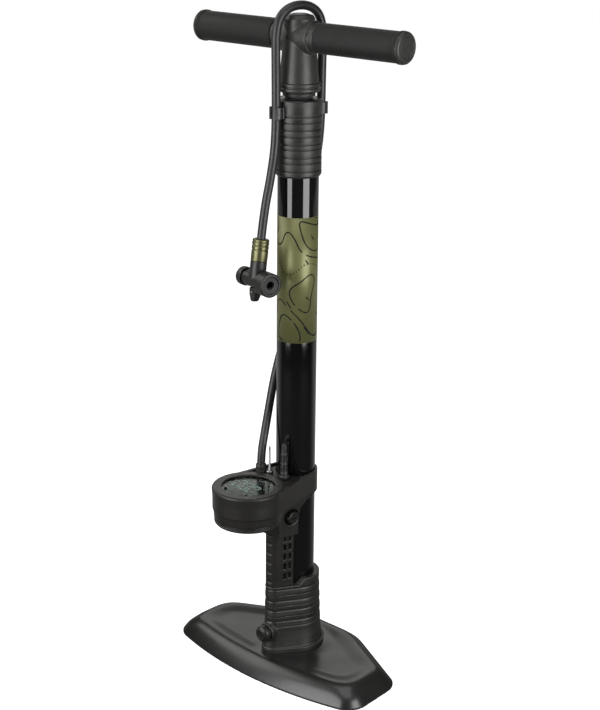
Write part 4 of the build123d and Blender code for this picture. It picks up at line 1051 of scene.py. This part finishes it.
def small_parts():
    """Pieces whose CAD facets would show in a gloss finish."""
    add("rod_chromed", lathe("rod_chromed", rounded([(0, 40.5), (5.98, 40.5, 0.6), (5.98, 636.0, 0.4), (0, 636.0)], 0.3, 3, closed=False), 96), "rod_steel", "handle", ["piston_rod"])
    lo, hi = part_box("ball_needle")
    c = (Vector(lo) + Vector(hi)) / 2 / MM
    ax = axes((c.x, c.y, 0), (0, 0, 1))
    prof = [(0, 204.2), (2.0, 204.2), (2.2, 204.6), (2.2, 212.2), (3.1, 212.3), (3.9, 212.9), (3.9, 215.0), (3.1, 215.7), (2.2, 215.9), (1.9, 216.8), (1.1, 217.6), (1.0, 240.2), (0.75, 241.2), (0, 241.6)]
    add("needle_turned", lathe("needle_turned", prof, 72, ax), "needle_steel", "ball_needle", ["ball_needle"])
    lo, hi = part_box("bladder_nozzle")
    c = (Vector(lo) + Vector(hi)) / 2 / MM
    ax = axes((c.x, c.y, 0), (0, 0, 1))
    prof = rounded([(0, 206), (3.4, 206), (3.4, 213.0, 0.1), (5.2, 213.0, 0.4), (5.2, 215.4, 0.5), (4.3, 216.0, 0.4), (4.15, 219.5, 0.3), (3.7, 220.2, 0.3), (3.5, 228.0, 0.3), (3.75, 228.8, 0.3), (3.3, 230.0, 0.3),
                    (3.0, 238.0, 0.3), (3.3, 238.8, 0.3), (2.8, 240.0, 0.3), (2.25, 249.4, 0.4), (1.4, 249.9, 0.2), (1.2, 247.0, 0.2), (0, 247.0)], 0.2, 4, closed=False)
    add("nozzle_moulded", lathe("nozzle_moulded", prof, 72, ax), "cap_black", "bladder_nozzle", ["bladder_nozzle"])


small_parts()


# ---------------------------------------------------------------- ferrule between hose and valve head
def ferrule():
    ax = axes(HEAD_C, HU, HX)
    prof = rounded(
        [(4.3, 19.7), (8.1, 19.7, 0.3), (8.15, 29.6, 0.4), (7.7, 30.0, 0.2), (7.7, 30.7, 0.2), (8.2, 31.2, 0.3), (8.2, 33.6, 0.3), (7.65, 34.1, 0.2), (7.65, 34.8, 0.2), (8.25, 35.3, 0.3),
         (8.25, 37.3, 0.3), (7.8, 37.7, 0.2), (7.8, 38.3, 0.2), (8.2, 38.8, 0.3), (7.9, 40.3, 0.5), (6.3, 40.9, 0.5), (4.3, 40.9, 0.2)], 0.2, 4)
    return add("hose_ferrule_sleeve", lathe("hose_ferrule_sleeve", prof, 112, ax), "olive_metal", "stand", ["hose_ferrule"])


FERRULE = ferrule()


# ---------------------------------------------------------------- floor, lights and surroundings
def floor():
    bpy.ops.mesh.primitive_plane_add(size=14, location=(0, 0, -0.0002))
    ob = bpy.context.object
    ob.name = "floor"
    m = Nodes("floor_pale")
    col = m.mix(m.ramp(m.noise(3, 4), [(0.35, 0.0), (0.7, 1.0)]), (0.50, 0.50, 0.50), (0.54, 0.54, 0.54))
    mat = m.put(col, 0.6, m.bump(m.noise(60, 3), 0.0002, 0.15))
    # the far floor fades to white like the seamless paper it stands for
    lp, em, mx = m.n("ShaderNodeLightPath"), m.n("ShaderNodeEmission"), m.n("ShaderNodeAddShader")
    em.inputs[0].default_value = (1, 1, 1, 1)
    m.link(m.math("MULTIPLY", lp.outputs["Is Camera Ray"], 0.97), em.inputs[1])
    m.link(m.b.outputs[0], mx.inputs[0])
    m.link(em.outputs[0], mx.inputs[1])
    dark, pick = m.n("ShaderNodeBsdfDiffuse"), m.n("ShaderNodeMixShader")
    dark.inputs[0].default_value = (0.07, 0.07, 0.068, 1)
    sep = m.n("ShaderNodeSeparateXYZ")
    m.link(m.co, sep.inputs[0])
    toward = m.math("ADD", m.math("MULTIPLY", sep.outputs[0], 0.669), m.math("MULTIPLY", sep.outputs[1], -0.743))
    glow, both = m.n("ShaderNodeEmission"), m.n("ShaderNodeAddShader")
    glow.inputs[0].default_value = (1, 0.99, 0.97, 1)
    m.link(m.maprange(toward, -0.45, 0.0, 0.34, 0.0), glow.inputs[1])
    m.link(dark.outputs[0], both.inputs[0])
    m.link(glow.outputs[0], both.inputs[1])
    m.link(lp.outputs["Is Camera Ray"], pick.inputs[0])
    m.link(both.outputs[0], pick.inputs[1])
    m.link(mx.outputs[0], pick.inputs[2])
    m.link(pick.outputs[0], m.out.inputs[0])
    ob.data.materials.append(mat)


def area(name, az, el, dist, size, power, aim=(0, 0, 0.33), colour=(1, 1, 1)):
    """Soft box; az is measured from the camera's own direction, positive to its right."""
    a, e = math.radians(CAM_AZ + az), math.radians(el)
    d = Vector((math.sin(a) * math.cos(e), -math.cos(a) * math.cos(e), math.sin(e)))
    li = bpy.data.lights.new(name, "AREA")
    li.shape, li.size, li.size_y = "RECTANGLE", size[0], size[1]
    li.energy, li.color = power, colour
    ob = bpy.data.objects.new(name, li)
    ob.location = Vector(aim) + d * dist
    ob.rotation_mode = "QUATERNION"
    ob.rotation_quaternion = d.to_track_quat("Z", "Y")
    ob.visible_camera = False
    SCENE.collection.objects.link(ob)


def surroundings():
    w = bpy.data.worlds.new("studio")
    SCENE.world = w
    w.use_nodes = True
    t = w.node_tree
    t.nodes.clear()
    out = t.nodes.new("ShaderNodeOutputWorld")
    mix = t.nodes.new("ShaderNodeMixShader")
    lp = t.nodes.new("ShaderNodeLightPath")
    seen, lit = t.nodes.new("ShaderNodeBackground"), t.nodes.new("ShaderNodeBackground")
    seen.inputs[0].default_value, seen.inputs[1].default_value = (0.99, 0.99, 0.99, 1), 1.06
    lit.inputs[0].default_value, lit.inputs[1].default_value = (0.95, 0.95, 0.93, 1), 0.075
    t.links.new(lp.outputs["Is Camera Ray"], mix.inputs[0])
    t.links.new(lit.outputs[0], mix.inputs[1])
    t.links.new(seen.outputs[0], mix.inputs[2])
    t.links.new(mix.outputs[0], out.inputs[0])


floor()
surroundings()
area("key_left", -52, 0, 1.05, (0.70, 1.02), 12.0, aim=(0, 0, 0.59))
area("key_right", 46, 0, 1.05, (0.66, 1.02), 12.4, aim=(0, 0, 0.59))
area("left_high", -107, 44, 2.2, (1.5, 1.1), 13, aim=(0, 0, 0.05), colour=(1, 0.99, 0.96))
area("top", 0, 84, 2.0, (1.5, 1.5), 13)
area("back_wall", 180, 24, 2.6, (2.4, 1.1), 9, colour=(1, 0.99, 0.96))
SCENE.view_settings.view_transform = "Standard"
SCENE.view_settings.look = "None"
